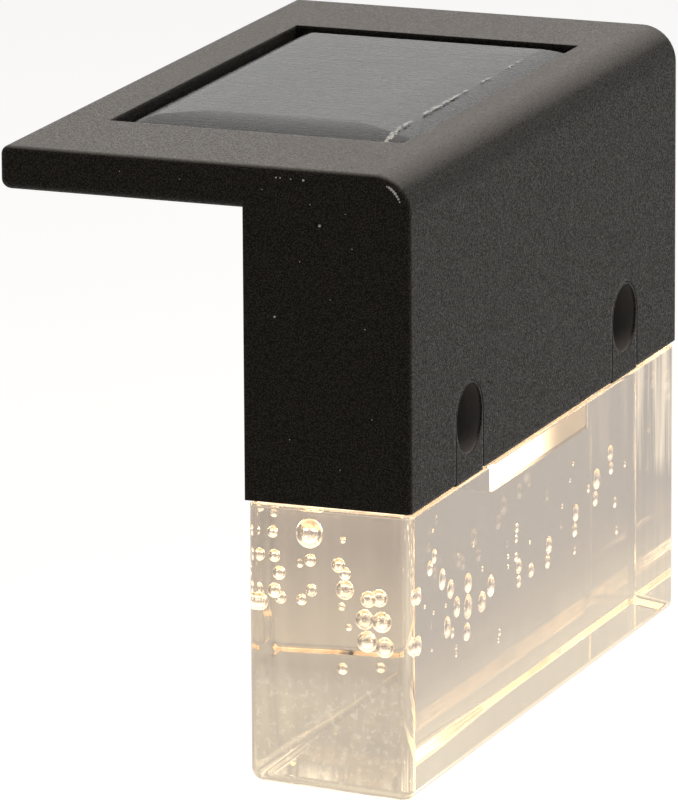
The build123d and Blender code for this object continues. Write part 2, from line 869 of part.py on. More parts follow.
def circuit_board_screws():
    made = []
    for x in (-board_screw_x, board_screw_x):
        body = screw(small_shank - screw_bite, small_length, small_head, small_head_height, cross=False)
        made.append(Pos(x, board_back, board_screw_z) * Rot(-90, 0, 0) * body)
    return made


def driver_chip():
    """Eight-legged driver chip on the back of the board."""
    length, width, height = chip_size
    made = block_between(
        (chip_x - length / 2, chip_x + length / 2),
        (board_back + chip_leg, board_back + height),
        (chip_row_z - width / 2, chip_row_z + width / 2),
    )
    pitch = length / chip_legs_per_side
    leg_y = (board_back, board_back + chip_leg * 2)
    for index in range(chip_legs_per_side):
        x = chip_x + (index - (chip_legs_per_side - 1) / 2) * pitch
        for side in (-1, 1):
            leg_z = sorted((chip_row_z + side * width / 3, chip_row_z + side * (width / 2 + chip_leg * 3)))
            made += block_between((x - chip_leg, x + chip_leg), leg_y, leg_z)
    return made


def inductor():
    """A drum wound with wire, standing on the board."""
    flange = flat_sided(inductor_diameter, HEAD_SIDES, inductor_flange)
    winding = flat_sided(inductor_waist, HEAD_SIDES, inductor_height)
    drum = flange + winding + Pos(0, 0, inductor_height - inductor_flange) * flange
    return Pos(inductor_x, board_back, chip_row_z) * Rot(-90, 0, 0) * drum


def small_components():
    """Chip resistors and capacitors in a row."""
    length, width, height = small_part_size
    x = (small_part_x - length / 2, small_part_x + length / 2)
    made = []
    for index in range(small_part_count):
        z = chip_row_z - index * small_part_pitch
        made.append(block_between(x, (board_back, board_back + height), (z - width / 2, z + width / 2)))
    return made


# ---------------------------------------------------------------- LED board
def led_board():
    x = cradle_inner - plate_gap
    y_low = inner_front + plate_gap + rim_thickness + plate_gap
    z = (floor_top, floor_top + led_board_thickness)
    made = block_between((-x, x), (y_low, y_low + led_board_depth), z)
    for sx in (-stake_x, stake_x):
        made -= post_z(sx, block_y, stake_diameter + 2 * hole_gap, z[0] - OVER, z[1] + OVER)
    return made


def leds():
    """Surface LEDs in a row, facing down through the chassis's window."""
    length, width, height = led_size
    made = []
    for index in range(led_count):
        x = (index - (led_count - 1) / 2) * led_pitch
        body = block_between((-length / 2, length / 2), (-width / 2, width / 2), (-height, 0))
        lens = Rot(180, 0, 0) * sink(width * lens_share, width * lens_share / 2, lens_height)
        made.append(Pos(x, block_y, floor_top) * (body + Pos(0, 0, -height) * lens))
    return made


def led_wires():
    """Two straight leads from the circuit board down to the LED board."""
    top, foot = board_z[0], floor_top + led_board_thickness
    return [wire([(x, wire_in_board, top), (x, wire_in_board, foot)]) for x in (-led_wire_x, led_wire_x)]


# ---------------------------------------------------------------- slide switch
def switch_can():
    """Sheet can with an ear at each end, open towards the base and slotted for the knob."""
    x = (switch_x - can_width / 2, switch_x + can_width / 2)
    z = (switch_z - can_height / 2, switch_z + can_height / 2)
    made = block_between(x, (can_back, can_front), z)
    made += block_between(x, (can_front - can_sheet, can_front), (z[0] - ear_height, z[1] + ear_height))
    made -= block_between(
        (x[0] + can_sheet, x[1] - can_sheet),
        (can_back - OVER, can_front - can_sheet),
        (z[0] + can_sheet, z[1] - can_sheet),
    )
    slot_x = (switch_x - knob_width / 2 - slide_gap, switch_x + knob_width / 2 + slide_gap)
    slot_z = (knob_z[0] - switch_travel - slide_gap, knob_z[1] + slide_gap)
    made -= block_between(slot_x, (can_front - can_sheet - OVER, can_front + OVER), slot_z)
    y = (can_front - can_sheet - OVER, can_front + OVER)
    for sz in (switch_z - ear_pitch / 2, switch_z + ear_pitch / 2):
        made -= post_y(switch_x, sz, small_shank + 2 * hole_gap, *y)
    return made


def switch_base():
    """Board that closes the can and carries the pins."""
    sheet = can_sheet
    x = (switch_x - can_width / 2 + sheet, switch_x + can_width / 2 - sheet)
    z = (switch_z - can_height / 2 + sheet, switch_z + can_height / 2 - sheet)
    return block_between(x, (can_back - base_thickness / 2, can_back + base_thickness / 2), z)


def switch_pins():
    start = can_back - base_thickness / 2
    made = []
    for index in (-1, 0, 1):
        z = switch_z + index * pin_pitch
        made.append(
            block_between(
                (switch_x - pin_size / 2, switch_x + pin_size / 2),
                (start - pin_length, start),
                (z - pin_size / 2, z + pin_size / 2),
            )
        )
    return made


def switch_knob():
    """The knob with the shoe that slides inside the can, resting at ON."""
    shoe_front = can_front - can_sheet - slide_gap
    shoe_back = can_back + base_thickness / 2 + slide_gap
    stem_x = (switch_x - knob_width / 2, switch_x + knob_width / 2)
    made = block_between(stem_x, (shoe_back, can_front + knob_proud), knob_z)
    tip = made.faces().sort_by(Axis.Y)[-1]
    made = fillet(tip.edges(), slide_gap * 2)
    shoe_reach = can_width / 2 - can_sheet - slide_gap
    shoe_x = (switch_x - shoe_reach, switch_x + shoe_reach)
    shoe_z = (knob_z[0] - shoe_overhang, knob_z[1] + shoe_overhang)
    return made + block_between(shoe_x, (shoe_back, shoe_front), shoe_z)


def switch_screws():
    head = ear_height - 2 * hole_gap
    made = []
    for sz in (switch_z - ear_pitch / 2, switch_z + ear_pitch / 2):
        body = screw(small_shank - screw_bite, small_length, head, small_head_height, cross=False)
        made.append(Pos(switch_x, can_front - can_sheet, sz) * Rot(90, 0, 0) * body)
    return made


def switch_wires():
    """Leads from two of the pins to the edge of the circuit board."""
    pin_end = can_back - base_thickness / 2 - pin_length
    edge = -board_width / 2
    made = []
    for z in (switch_z, switch_z + pin_pitch):
        made.append(wire([(switch_x, pin_end, z), (switch_x, wire_in_board, z), (edge, wire_in_board, z)]))
    return made


# ---------------------------------------------------------------- clear block
def acrylic_block():
    """Clear cast block: rounded edges, bevelled rim, a pocket for the light, a bottom lower at its front."""
    y = (block_y - block_depth / 2, block_y + block_depth / 2)
    side = [(y[0], block_bottom - block_front_drop), (y[1], block_bottom), (y[1], block_top), (y[0], block_top)]
    with BuildPart() as form:
        with BuildSketch(Plane.YZ):
            Polygon(*side, align=None)
        extrude(amount=block_length / 2, both=True)
        low_edges = form.faces().sort_by(Axis.Z)[0].edges()
        fillet(form.edges().filter_by(Axis.Z) + low_edges, block_edge_radius)
        chamfer(form.faces().sort_by(Axis.Z)[-1].edges(), block_top_bevel)
    pocket = rounded_block(
        (-pocket_length / 2, pocket_length / 2),
        (block_y - pocket_width / 2, block_y + pocket_width / 2),
        (block_top - block_pocket_depth, block_top + OVER),
        block_pocket_corner,
    )
    return form.part - pocket


def block_bond():
    """Thin clear glue line between the chassis's floor and the block."""
    x = block_length / 2 - bond_inset
    y = block_depth / 2 - bond_inset
    level = (block_top, floor_bottom)
    hole_x, hole_y = pocket_length / 2 + diffuser_wall, pocket_width / 2 + diffuser_wall
    hole_z = (level[0] - OVER, level[1] + OVER)
    made = block_between((-x, x), (block_y - y, block_y + y), level)
    return made - block_between((-hole_x, hole_x), (block_y - hole_y, block_y + hole_y), hole_z)


def light_diffuser():
    """Opal cap in the block's pocket, its rim against the chassis's floor."""
    x = pocket_length / 2 - diffuser_gap
    y = pocket_width / 2 - diffuser_gap
    low = block_top - block_pocket_depth + diffuser_gap
    corner = block_pocket_corner - diffuser_gap
    cap = rounded_block((-x, x), (block_y - y, block_y + y), (low, floor_bottom), corner)
    hollow = rounded_block(
        (-x + diffuser_wall, x - diffuser_wall),
        (block_y - y + diffuser_wall, block_y + y - diffuser_wall),
        (low + diffuser_wall, floor_bottom + OVER),
        corner - diffuser_wall / 2,
    )
    return cap - hollow


# ---------------------------------------------------------------- all pieces, one file each
NODES = {
    "hood": hood,
    "ledge_cover": ledge_cover,
    "ledge_cover_screws": ledge_cover_screws,
    "panel_tape": panel_tape,
    "panel_board": panel_board,
    "panel_cells": panel_cells,
    "panel_resin": panel_resin,
    "panel_wires": panel_wires,
    "chassis": chassis,
    "screw_tubes": screw_tubes,
    "back_cover": back_cover,
    "back_cover_seal": back_cover_seal,
    "back_cover_screws": back_cover_screws,
    "battery_door": battery_door,
    "battery_door_seal": battery_door_seal,
    "battery_door_screws": battery_door_screws,
    "battery_cell": battery_cell,
    "battery_sleeve": battery_sleeve,
    "positive_contact": positive_contact,
    "negative_contact": negative_contact,
    "contact_wires": contact_wires,
    "circuit_board": circuit_board,
    "circuit_board_screws": circuit_board_screws,
    "driver_chip": driver_chip,
    "inductor": inductor,
    "small_components": small_components,
    "led_board": led_board,
    "leds": leds,
    "led_wires": led_wires,
    "switch_can": switch_can,
    "switch_base": switch_base,
    "switch_pins": switch_pins,
    "switch_knob": switch_knob,
    "switch_screws": switch_screws,
    "switch_wires": switch_wires,
    "acrylic_block": acrylic_block,
    "block_bond": block_bond,
    "light_diffuser": light_diffuser,
}

os.makedirs("parts", exist_ok=True)
for node, make in NODES.items():
    shape = make()
    solids = shape if isinstance(shape, list) else [shape]
    flat = [solid for piece in solids for solid in piece.solids()]
    export_step(flat[0] if len(flat) == 1 else Compound(children=flat), f"parts/{node}.step")
    print(node, len(flat), "solids", round(sum(solid.volume for solid in flat), 1), "mm3")
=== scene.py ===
# %% [markdown]
# # A solar fence light, dressed in Blender
# The imported model gives the light's true sizes and places. This lesson keeps that frame as it is and
# dresses it: textured black mouldings, a poured resin panel, and a clear cast block whose bubbles
# catch the light, helped by a painted glow on their lower skins. Lengths are in metres, and MM turns
# millimetres into them. X runs along the fence, +Y into it and +Z up.

# %% Load the imported model
import math
import random

import bmesh
import bpy
from mathutils import Matrix, Vector


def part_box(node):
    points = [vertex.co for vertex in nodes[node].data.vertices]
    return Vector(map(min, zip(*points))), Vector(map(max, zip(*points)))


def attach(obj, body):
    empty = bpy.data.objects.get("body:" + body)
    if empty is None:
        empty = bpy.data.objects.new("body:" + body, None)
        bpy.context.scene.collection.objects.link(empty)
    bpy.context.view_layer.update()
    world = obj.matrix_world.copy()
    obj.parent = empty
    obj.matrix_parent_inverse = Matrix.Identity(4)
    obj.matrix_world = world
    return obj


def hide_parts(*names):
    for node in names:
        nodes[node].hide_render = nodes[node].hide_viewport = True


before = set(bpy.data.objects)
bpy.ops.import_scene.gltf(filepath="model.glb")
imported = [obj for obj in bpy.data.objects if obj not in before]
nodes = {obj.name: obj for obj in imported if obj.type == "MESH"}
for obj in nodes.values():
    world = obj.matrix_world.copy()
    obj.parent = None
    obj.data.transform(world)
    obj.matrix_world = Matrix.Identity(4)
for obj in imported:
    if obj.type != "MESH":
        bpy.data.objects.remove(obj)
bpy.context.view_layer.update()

MM = 0.001
scene = bpy.context.scene
scene.view_settings.view_transform = "Standard"
scene.cycles.max_bounces = 32
scene.cycles.transmission_bounces = 32
scene.cycles.glossy_bounces = 16
print("frame loaded with", len(nodes), "nodes")


def link(name, mesh):
    """Puts a mesh in the scene under a plain name."""
    made = bpy.data.objects.new(name, mesh)
    scene.collection.objects.link(made)
    return made


# %% [markdown]
# ## Camera
# The photograph was taken from far off with a long lens, so lines that are parallel on the light stay
# nearly parallel. A camera can be set by hand until edges line up, or solved from measured edges. Here
# it was solved: a place 1.4 metres away, a direction 14 degrees downwards, and a lens of 399.5 mm.

# %% Camera
def add_camera(place, direction, roll, lens):
    """A camera that looks along a direction, turned about its own axis by roll."""
    data = bpy.data.cameras.new("camera")
    data.lens = lens
    data.sensor_width = 36.0
    data.clip_start = 0.05
    data.clip_end = 100.0
    made = bpy.data.objects.new("camera", data)
    scene.collection.objects.link(made)
    turn = Vector(direction).to_track_quat("-Z", "Y").to_matrix().to_4x4()
    made.matrix_world = Matrix.Translation(place) @ turn @ Matrix.Rotation(roll, 4, "Z")
    scene.camera = made
    return made


camera = add_camera(
    place=(-1.3199, -0.5117, 0.3431), direction=(0.90294, 0.35604, -0.24068), roll=-0.00565, lens=399.5
)
print("camera stands", round(camera.location.length, 3), "m from the light")

# %% [markdown]
# ## Nodes in short words
# A world or a material is a small tree of nodes. Set up by hand, each node takes several lines, one for
# each of its sockets. The helpers here take one line for one idea: a value carried to another range,
# masks multiplied together, a cloudy noise, a relief. Each hands back the socket that holds its
# result, so that the next one can use it at once.

# %% Node helpers
def add_node(tree, kind, inputs=None, **settings):
    """Adds a node. Each input is given a value, or joined to another node's output."""
    node = tree.nodes.new(kind)
    for key, value in settings.items():
        setattr(node, key, value)
    for key, value in (inputs or {}).items():
        if isinstance(value, bpy.types.NodeSocket):
            tree.links.new(value, node.inputs[key])
        else:
            node.inputs[key].default_value = value
    return node


def compute(tree, operation, *values):
    """One step of arithmetic. Each value is a number or another node's output."""
    return add_node(tree, "ShaderNodeMath", dict(enumerate(values)), operation=operation).outputs[0]


def product(tree, first, *others):
    """Several masks multiplied together."""
    for other in others:
        first = compute(tree, "MULTIPLY", first, other)
    return first


def ramp(tree, value, start, end=1.0, low=0.0, high=1.0, **settings):
    """A value carried from one range to another, and held at its ends."""
    ends = {"From Min": start, "From Max": end, "To Min": low, "To Max": high}
    return add_node(tree, "ShaderNodeMapRange", {"Value": value, **ends}, **settings).outputs[0]


def own_places(tree):
    """Places on the piece itself, in metres, which move with it."""
    return add_node(tree, "ShaderNodeTexCoord").outputs["Object"]


def split(tree, vector):
    """The X, Y and Z of a vector."""
    return add_node(tree, "ShaderNodeSeparateXYZ", {"Vector": vector}).outputs


def clouds(tree, places, scale, detail=2.0, rough=0.5):
    """A cloudy noise."""
    inputs = {"Vector": places, "Scale": scale, "Detail": detail, "Roughness": rough}
    return add_node(tree, "ShaderNodeTexNoise", inputs).outputs[0]


def bands(tree, places, scale, way, distortion=0.0):
    """Even bands that follow each other along X, Y or Z."""
    inputs = {"Vector": places, "Scale": scale, "Distortion": distortion}
    return add_node(tree, "ShaderNodeTexWave", inputs, bands_direction=way).outputs["Fac"]


def relief_of(tree, height, distance, strength=1.0, normal=None):
    """A normal that follows a relief. Distance is the relief's full height in metres."""
    inputs = {"Height": height, "Strength": strength, "Distance": distance}
    if normal is not None:
        inputs["Normal"] = normal
    return add_node(tree, "ShaderNodeBump", inputs).outputs[0]


def principled(tree, inputs):
    """Ends a material with the shader that most of the pieces share."""
    body = add_node(tree, "ShaderNodeBsdfPrincipled", inputs)
    add_node(tree, "ShaderNodeOutputMaterial", {"Surface": body.outputs[0]})


def seen_rays(tree):
    """1 for rays from the camera and for those that reflect or pass through something, else 0."""
    path = add_node(tree, "ShaderNodeLightPath").outputs
    direct = compute(tree, "MAXIMUM", path["Is Camera Ray"], path["Is Glossy Ray"])
    return compute(tree, "MAXIMUM", direct, path["Is Transmission Ray"])


print("node helpers ready")

# %% [markdown]
# ## Studio
# A product picture wants light from everywhere and a white ground. The world does both jobs. For rays
# that the camera sees, and for those that reflect off or pass through the light, it is plain white,
# because then black plastic and clear acrylic show the white studio. For all other rays it is a
# softer grey, so pale surfaces don't clip. Two broad soft lamps shape the mouldings, one above the
# front and one almost overhead. Both stand high on purpose: a low lamp mirrors as a white slab in the
# block and as a white sheet on the panel once the light is seen from behind.

# %% World
def set_world(soft_level):
    """White where it is seen, reflected or looked through, and a soft level where it only lights."""
    world = bpy.data.worlds.new("studio")
    scene.world = world
    world.use_nodes = True
    tree = world.node_tree
    tree.nodes.clear()
    white = add_node(tree, "ShaderNodeBackground", {"Color": (1, 1, 1, 1), "Strength": 1.0})
    soft = add_node(tree, "ShaderNodeBackground", {"Color": (1, 1, 1, 1), "Strength": soft_level})
    mix = add_node(tree, "ShaderNodeMixShader", {0: seen_rays(tree), 1: soft.outputs[0], 2: white.outputs[0]})
    add_node(tree, "ShaderNodeOutputWorld", {"Surface": mix.outputs[0]})


set_world(soft_level=0.35)


def add_lamp(name, place, target, size, power):
    """A square soft lamp that faces a target, a little warmer than the studio's white."""
    data = bpy.data.lights.new(name, "AREA")
    data.color = (1.0, 0.9, 0.79)
    data.size = size
    data.energy = power
    made = bpy.data.objects.new(name, data)
    made.location = place
    made.rotation_euler = (Vector(target) - Vector(place)).to_track_quat("-Z", "Y").to_euler()
    scene.collection.objects.link(made)
    return made


middle = (0.0, 0.0, -0.005)
add_lamp("front_soft_lamp", (0.8, -1.2, 1.15), middle, size=0.8, power=11.0)
add_lamp("top_soft_lamp", (0.25, -0.3, 1.95), middle, size=0.9, power=11.5)

# %% [markdown]
# ### Floor
# The floor is a pale sheet a third of a metre below the light, which hangs free of it. It is lit like
# any pale sheet, so the light's shadow falls on it. On top of that it gives off just enough light to
# look white where the camera, a reflection or a view through the clear block meets it.

# %% Floor
def new_tree(name):
    """A material with an empty node tree."""
    material = bpy.data.materials.new(name)
    material.use_nodes = True
    material.node_tree.nodes.clear()
    return material, material.node_tree


def floor_material(shade, glow):
    """Pale and lit by the studio, with a glow only for the rays that should find a white ground."""
    material, tree = new_tree("pale_floor")
    noise = add_node(tree, "ShaderNodeTexNoise", {"Scale": 3.0, "Detail": 4.0})
    tone = ramp(tree, noise.outputs[0], 0.0, 1.0, shade * 0.98, shade)
    body = add_node(tree, "ShaderNodeBsdfDiffuse", {"Color": tone})
    light = add_node(tree, "ShaderNodeEmission", {"Strength": product(tree, seen_rays(tree), glow)})
    both = add_node(tree, "ShaderNodeAddShader", {0: body.outputs[0], 1: light.outputs[0]})
    add_node(tree, "ShaderNodeOutputMaterial", {"Surface": both.outputs[0]})
    return material


def add_floor(height, half):
    """A large flat sheet, fine enough to shade evenly."""
    shape = bmesh.new()
    bmesh.ops.create_grid(shape, x_segments=12, y_segments=12, size=half)
    mesh = bpy.data.meshes.new("floor")
    shape.to_mesh(mesh)
    shape.free()
    floor = link("floor", mesh)
    floor.location.z = height
    mesh.materials.append(floor_material(shade=0.8, glow=0.56))
    return floor


floor = add_floor(height=-0.34, half=6.0)
print("floor lies", round(-floor.location.z, 2), "m below the fence screws")

# %% [markdown]
# ## Shared effects
# Three effects turn up on many of the pieces, so each is a node group: a grain, a scatter of dust with
# a veil on faces that look up, which is partly dust and partly a painted lighter top, and wear on the
# edges. A group only hands out values and normals; the shaders stay in the materials, where each piece
# decides what to do with them.

# %% Grain
def new_group(name, outputs, inputs=()):
    """An empty node group with its sockets, and its inner input and output nodes."""
    group = bpy.data.node_groups.new(name, "ShaderNodeTree")
    for label, kind, value in inputs:
        socket = group.interface.new_socket(label, in_out="INPUT", socket_type=kind)
        socket.default_value = value
    for label, kind in outputs:
        group.interface.new_socket(label, in_out="OUTPUT", socket_type=kind)
    return group, group.nodes.new("NodeGroupInput"), group.nodes.new("NodeGroupOutput")


FLOAT = "NodeSocketFloat"


def grain_group():
    """The fine pitted skin that a spark-eroded mould leaves, from two sizes of noise."""
    group, given, out = new_group(
        "grain", [("Height", FLOAT), ("Pits", FLOAT), ("Speckle", FLOAT)], [("Pitch", FLOAT, 0.4 * MM)]
    )
    where = own_places(group)
    rate = compute(group, "DIVIDE", 1.0, given.outputs["Pitch"])
    fine = clouds(group, where, rate, 3.0, 0.6)
    slow_rate = product(group, rate, 0.22)
    slow = clouds(group, where, slow_rate, 2.0)
    height = compute(group, "ADD", fine, slow)
    group.links.new(height, out.inputs["Height"])
    group.links.new(fine, out.inputs["Pits"])
    cells = add_node(group, "ShaderNodeTexVoronoi", {"Vector": where, "Scale": rate})
    speck = ramp(group, cells.outputs["Distance"], 0.1, 0.55, 1.0, 0.0)
    group.links.new(speck, out.inputs["Speckle"])
    return group


def dust_and_sheen_group():
    """A few pale grains that lie about, and a thin film on faces that look up: partly a dusting, partly a painted
    lighter top.
    """
    group, given, out = new_group("dust_and_sheen", [("Mask", FLOAT)], [("Amount", FLOAT, 0.5)])
    where = own_places(group)
    spots = add_node(group, "ShaderNodeTexVoronoi", {"Vector": where, "Scale": 420.0, "Randomness": 1.0})
    near = ramp(group, spots.outputs["Distance"], 0.05, 0.13, 1.0, 0.0)
    chosen = add_node(group, "ShaderNodeSeparateColor", {"Color": spots.outputs["Color"]})
    few = compute(group, "GREATER_THAN", chosen.outputs[0], 0.93)
    dots = product(group, near, few)
    scaled = product(group, dots, given.outputs["Amount"])
    facing = add_node(group, "ShaderNodeNewGeometry")
    up = split(group, facing.outputs["Normal"])
    patchy = clouds(group, where, 2400.0, 3.0)
    film = ramp(group, patchy, 0.3, 0.7, 0.72, 1.24)
    # Faces that look up turn paler: partly settled dust, partly painted sheen that lightens the top.
    facing_up = ramp(group, up["Z"], 0.6, 1.0, 0.0, 0.92)
    top_dust_and_sheen = product(group, film, facing_up)
    both = compute(group, "MAXIMUM", scaled, top_dust_and_sheen)
    group.links.new(both, out.inputs["Mask"])
    return group


def wear_group():
    """Where the surface turns sharply: the rounded normal and the true one part there."""
    group, given, out = new_group("edge_wear", [("Mask", FLOAT)], [("Width", FLOAT, 0.8 * MM)])
    round_normal = add_node(group, "ShaderNodeBevel", {"Radius": given.outputs["Width"]}, samples=6)
    true = add_node(group, "ShaderNodeNewGeometry")
    normals = {0: round_normal.outputs[0], 1: true.outputs["Normal"]}
    parted = add_node(group, "ShaderNodeVectorMath", normals, operation="DOT_PRODUCT")
    mask = ramp(group, parted.outputs["Value"], 0.99, 0.8)
    group.links.new(mask, out.inputs["Mask"])
    return group


grain = grain_group()
dust_and_sheen = dust_and_sheen_group()
edge_wear = wear_group()
print("node groups:", [g.name for g in bpy.data.node_groups])


# %% [markdown]
# ## Black mouldings
# The hood, chassis and covers are moulded in black plastic. The mould was spark-eroded, so the skin is
# a fine matt grain that takes off the shine without hiding the form. The base stays almost black, and
# the near end, which faces us, shows it. Two things make the other faces greyer: a thin veil on those
# that look up, partly dust and partly a painted lighter top, and the white studio, reflected in the
# front, which we see at a low angle.

# %% Black moulding
def add_group(tree, group, inputs=None):
    """Puts a shared effect into a material."""
    node = tree.nodes.new("ShaderNodeGroup")
    node.node_tree = group
    for key, value in (inputs or {}).items():
        node.inputs[key].default_value = value
    return node


def mix_colours(tree, factor, low, high):
    """The colour between two others, by a factor that may come from another node."""
    node = tree.nodes.new("ShaderNodeMix")
    node.data_type = "RGBA"
    for index, value in ((0, factor), (6, low), (7, high)):
        if isinstance(value, bpy.types.NodeSocket):
            tree.links.new(value, node.inputs[index])
        else:
            node.inputs[index].default_value = value
    return node.outputs[2]


def black_moulding(name, pitch, depth, rough, shine, bore_from=None):
    """Black plastic with a mould grain, a little dusting with a painted lighter top, and edges rubbed
    smooth. Behind bore_from, deep in the screw bores, it is paler: painted light on the bore walls, as
    they look in the photograph."""
    material, tree = new_tree(name)
    skin = add_group(tree, grain, {"Pitch": pitch})
    dots = add_group(tree, dust_and_sheen, {"Amount": 0.35})
    worn = add_group(tree, edge_wear, {"Width": 0.7 * MM})
    base = mix_colours(tree, skin.outputs["Speckle"], (0.002, 0.0018, 0.0015, 1), (0.05, 0.0445, 0.0375, 1))
    # Paler with dust grains, and on faces that look up with a painted lighter top.
    dusty_with_painted_light = mix_colours(tree, dots.outputs["Mask"], base, (0.16, 0.15, 0.14, 1))
    if bore_from is not None:
        # Deep in the screw bores the colour turns paler: painted light on the bore walls.
        where = own_places(tree)
        part = split(tree, where)
        inside = ramp(tree, part["Y"], bore_from + 0.2 * MM, bore_from + 0.6 * MM)
        dusty_with_painted_light = mix_colours(tree, inside, dusty_with_painted_light, (0.11, 0.1, 0.095, 1))
    rounded = add_node(tree, "ShaderNodeBevel", {"Radius": 0.9 * MM}, samples=6)
    shape = relief_of(tree, skin.outputs["Height"], depth, normal=rounded.outputs[0])
    pits = ramp(tree, skin.outputs["Pits"], 0.3, 0.7, rough * 0.25, rough * 1.75)
    rubbed = ramp(tree, worn.outputs["Mask"], 0.0, 1.0, 1.0, 0.72)
    sheen = product(tree, pits, rubbed)
    principled(tree, {
        "Base Color": dusty_with_painted_light, "Roughness": sheen, "Normal": shape,
        "Specular IOR Level": shine, "Specular Tint": (1.0, 0.85, 0.7, 1.0),
    })
    return material


def dress(names, material):
    """Gives CAD nodes a material in place of the plain one they came with."""
    for name in names:
        slots = nodes[name].data.materials
        slots.clear()
        slots.append(material)


mouldings = ("hood", "chassis", "back_cover", "ledge_cover", "battery_door", "switch_knob")
mould_skin = {"pitch": 0.26 * MM, "depth": 0.04 * MM, "rough": 0.5, "shine": 0.1}
dress(mouldings, black_moulding("black_moulding", **mould_skin))
tube_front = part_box("screw_tubes")[0][1]
dress(["screw_tubes"], black_moulding("tube_moulding", **mould_skin, bore_from=tube_front))
print("moulded in black:", ", ".join(mouldings), "and the screw tubes")


# %% [markdown]
# ## Plain materials for the parts inside
# Boards, cells, metal and wires are hidden when the light is whole, but they are seen from below, from
# the back and whenever somebody opens the model. Each gets a colour with a small change across it, as
# real parts have. Boards show the weave of their cloth, and nearly all the rest share one function.

# %% Inner parts
def plain(name, low, high, scale, rough, metal=0.0, bump=0.0, stretch=(1, 1, 1)):
    """A material that drifts between two colours over the part, with a slight relief."""
    material, tree = new_tree(name)
    where = own_places(tree)
    spread = add_node(tree, "ShaderNodeMapping", {"Vector": where, "Scale": stretch})
    noise = clouds(tree, spread.outputs[0], scale, 4.0)
    colour = mix_colours(tree, noise, (*low, 1), (*high, 1))
    vary = ramp(tree, noise, 0.0, 1.0, rough * 0.85, min(1.0, rough * 1.15))
    shape = relief_of(tree, noise, bump, 0.5)
    principled(tree, {"Base Color": colour, "Roughness": vary, "Normal": shape, "Metallic": metal})
    return material


def weave(name, mask_low, mask_high, rough):
    """A glass-fibre board: the weave shows through the solder mask as a fine check."""
    material, tree = new_tree(name)
    where = own_places(tree)
    across = bands(tree, where, 700.0, "X", 0.6)
    along = bands(tree, where, 700.0, "Y", 0.6)
    cloth = product(tree, across, along)
    colour = mix_colours(tree, cloth, (*mask_low, 1), (*mask_high, 1))
    shape = relief_of(tree, cloth, 0.02 * MM, 0.3)
    principled(tree, {"Base Color": colour, "Roughness": rough, "Normal": shape})
    return material


dress(["circuit_board"], weave("board", (0.008, 0.05, 0.022), (0.018, 0.09, 0.04), 0.35))
dress(["panel_board"], weave("panel_board", (0.004, 0.005, 0.006), (0.01, 0.012, 0.014), 0.5))
dress(["switch_base"], weave("switch_board", (0.12, 0.07, 0.03), (0.2, 0.12, 0.05), 0.5))
dress(["led_board"], weave("white_board", (0.62, 0.62, 0.6), (0.78, 0.78, 0.75), 0.35))
dress(["panel_tape"], plain("foam", (0.45, 0.45, 0.43), (0.62, 0.62, 0.6), 1800.0, 0.9, bump=0.1 * MM))
rubber = plain("seal", (0.018, 0.018, 0.018), (0.04, 0.04, 0.04), 1500.0, 0.8, bump=0.05 * MM)
dress(["back_cover_seal", "battery_door_seal"], rubber)
drawn_metal = {"metal": 1.0, "bump": 0.01 * MM}
steel = plain("steel", (0.42, 0.42, 0.4), (0.62, 0.61, 0.59), 500.0, 0.32, stretch=(1, 1, 0.1), **drawn_metal)
dress([name for name in nodes if name.endswith("_screws")] + ["battery_cell"], steel)
nickel = plain("nickel", (0.55, 0.52, 0.46), (0.72, 0.7, 0.64), 600.0, 0.25, stretch=(1, 0.1, 1), **drawn_metal)
dress(["positive_contact", "negative_contact", "switch_can"], nickel)
dress(["battery_sleeve"], plain("sleeve", (0.03, 0.16, 0.07), (0.05, 0.23, 0.1), 90.0, 0.3, bump=0.03 * MM))
insulation = plain("red_wire", (0.26, 0.012, 0.01), (0.38, 0.025, 0.018), 900.0, 0.45, bump=0.02 * MM)
dress([name for name in nodes if name.endswith("_wires")], insulation)
dress(["driver_chip"], plain("chip", (0.012, 0.012, 0.012), (0.03, 0.03, 0.03), 2500.0, 0.55, bump=0.02 * MM))
dress(["small_components"], plain("ceramic", (0.2, 0.13, 0.07), (0.36, 0.27, 0.18), 1500.0, 0.5, bump=0.01 * MM))
dress(["switch_pins"], plain("pins", (0.5, 0.36, 0.14), (0.66, 0.5, 0.24), 800.0, 0.3, metal=1.0, bump=0.01 * MM))


def ferrite_and_winding():
    """The inductor: a dark ferrite drum with lacquered copper wound round its waist."""
    material, tree = new_tree("ferrite")
    low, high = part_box("inductor")
    where = own_places(tree)
    part = split(tree, where)
    depth = high[1] - low[1]
    after = compute(tree, "GREATER_THAN", part["Y"], low[1] + 0.22 * depth)
    before = compute(tree, "LESS_THAN", part["Y"], high[1] - 0.22 * depth)
    waist = product(tree, after, before)
    turns = bands(tree, where, 900.0, "Y")
    copper = mix_colours(tree, turns, (0.16, 0.05, 0.015, 1), (0.5, 0.2, 0.07, 1))
    noise = clouds(tree, where, 1600.0)
    drum = mix_colours(tree, noise, (0.03, 0.03, 0.03, 1), (0.07, 0.07, 0.07, 1))
    colour = mix_colours(tree, waist, drum, copper)
    shape = relief_of(tree, turns, 0.08 * MM, 0.4)
    principled(tree, {"Base Color": colour, "Roughness": 0.4, "Normal": shape})
    return material


dress(["inductor"], ferrite_and_winding())
print("materials so far:", len(bpy.data.materials))


# %% [markdown]
# ## Rings
# Three pieces below, the opal cap, the clear block and the panel's resin, are rectangles with round
# corners that change with height. Each is laid as a stack of rings with the same number of points,
# and faces join each ring to the next. The places are in millimetres until a point is made.

# %% Points and rings
ARC_STEPS = 10


def add_point(shape, x, y, z):
    """A point, its place given in millimetres."""
    return shape.verts.new((x * MM, y * MM, z * MM))


def quarter_turn(steps):
    """Angles from 0 to 90 degrees."""
    return [math.radians(90 * step / steps) for step in range(steps + 1)]


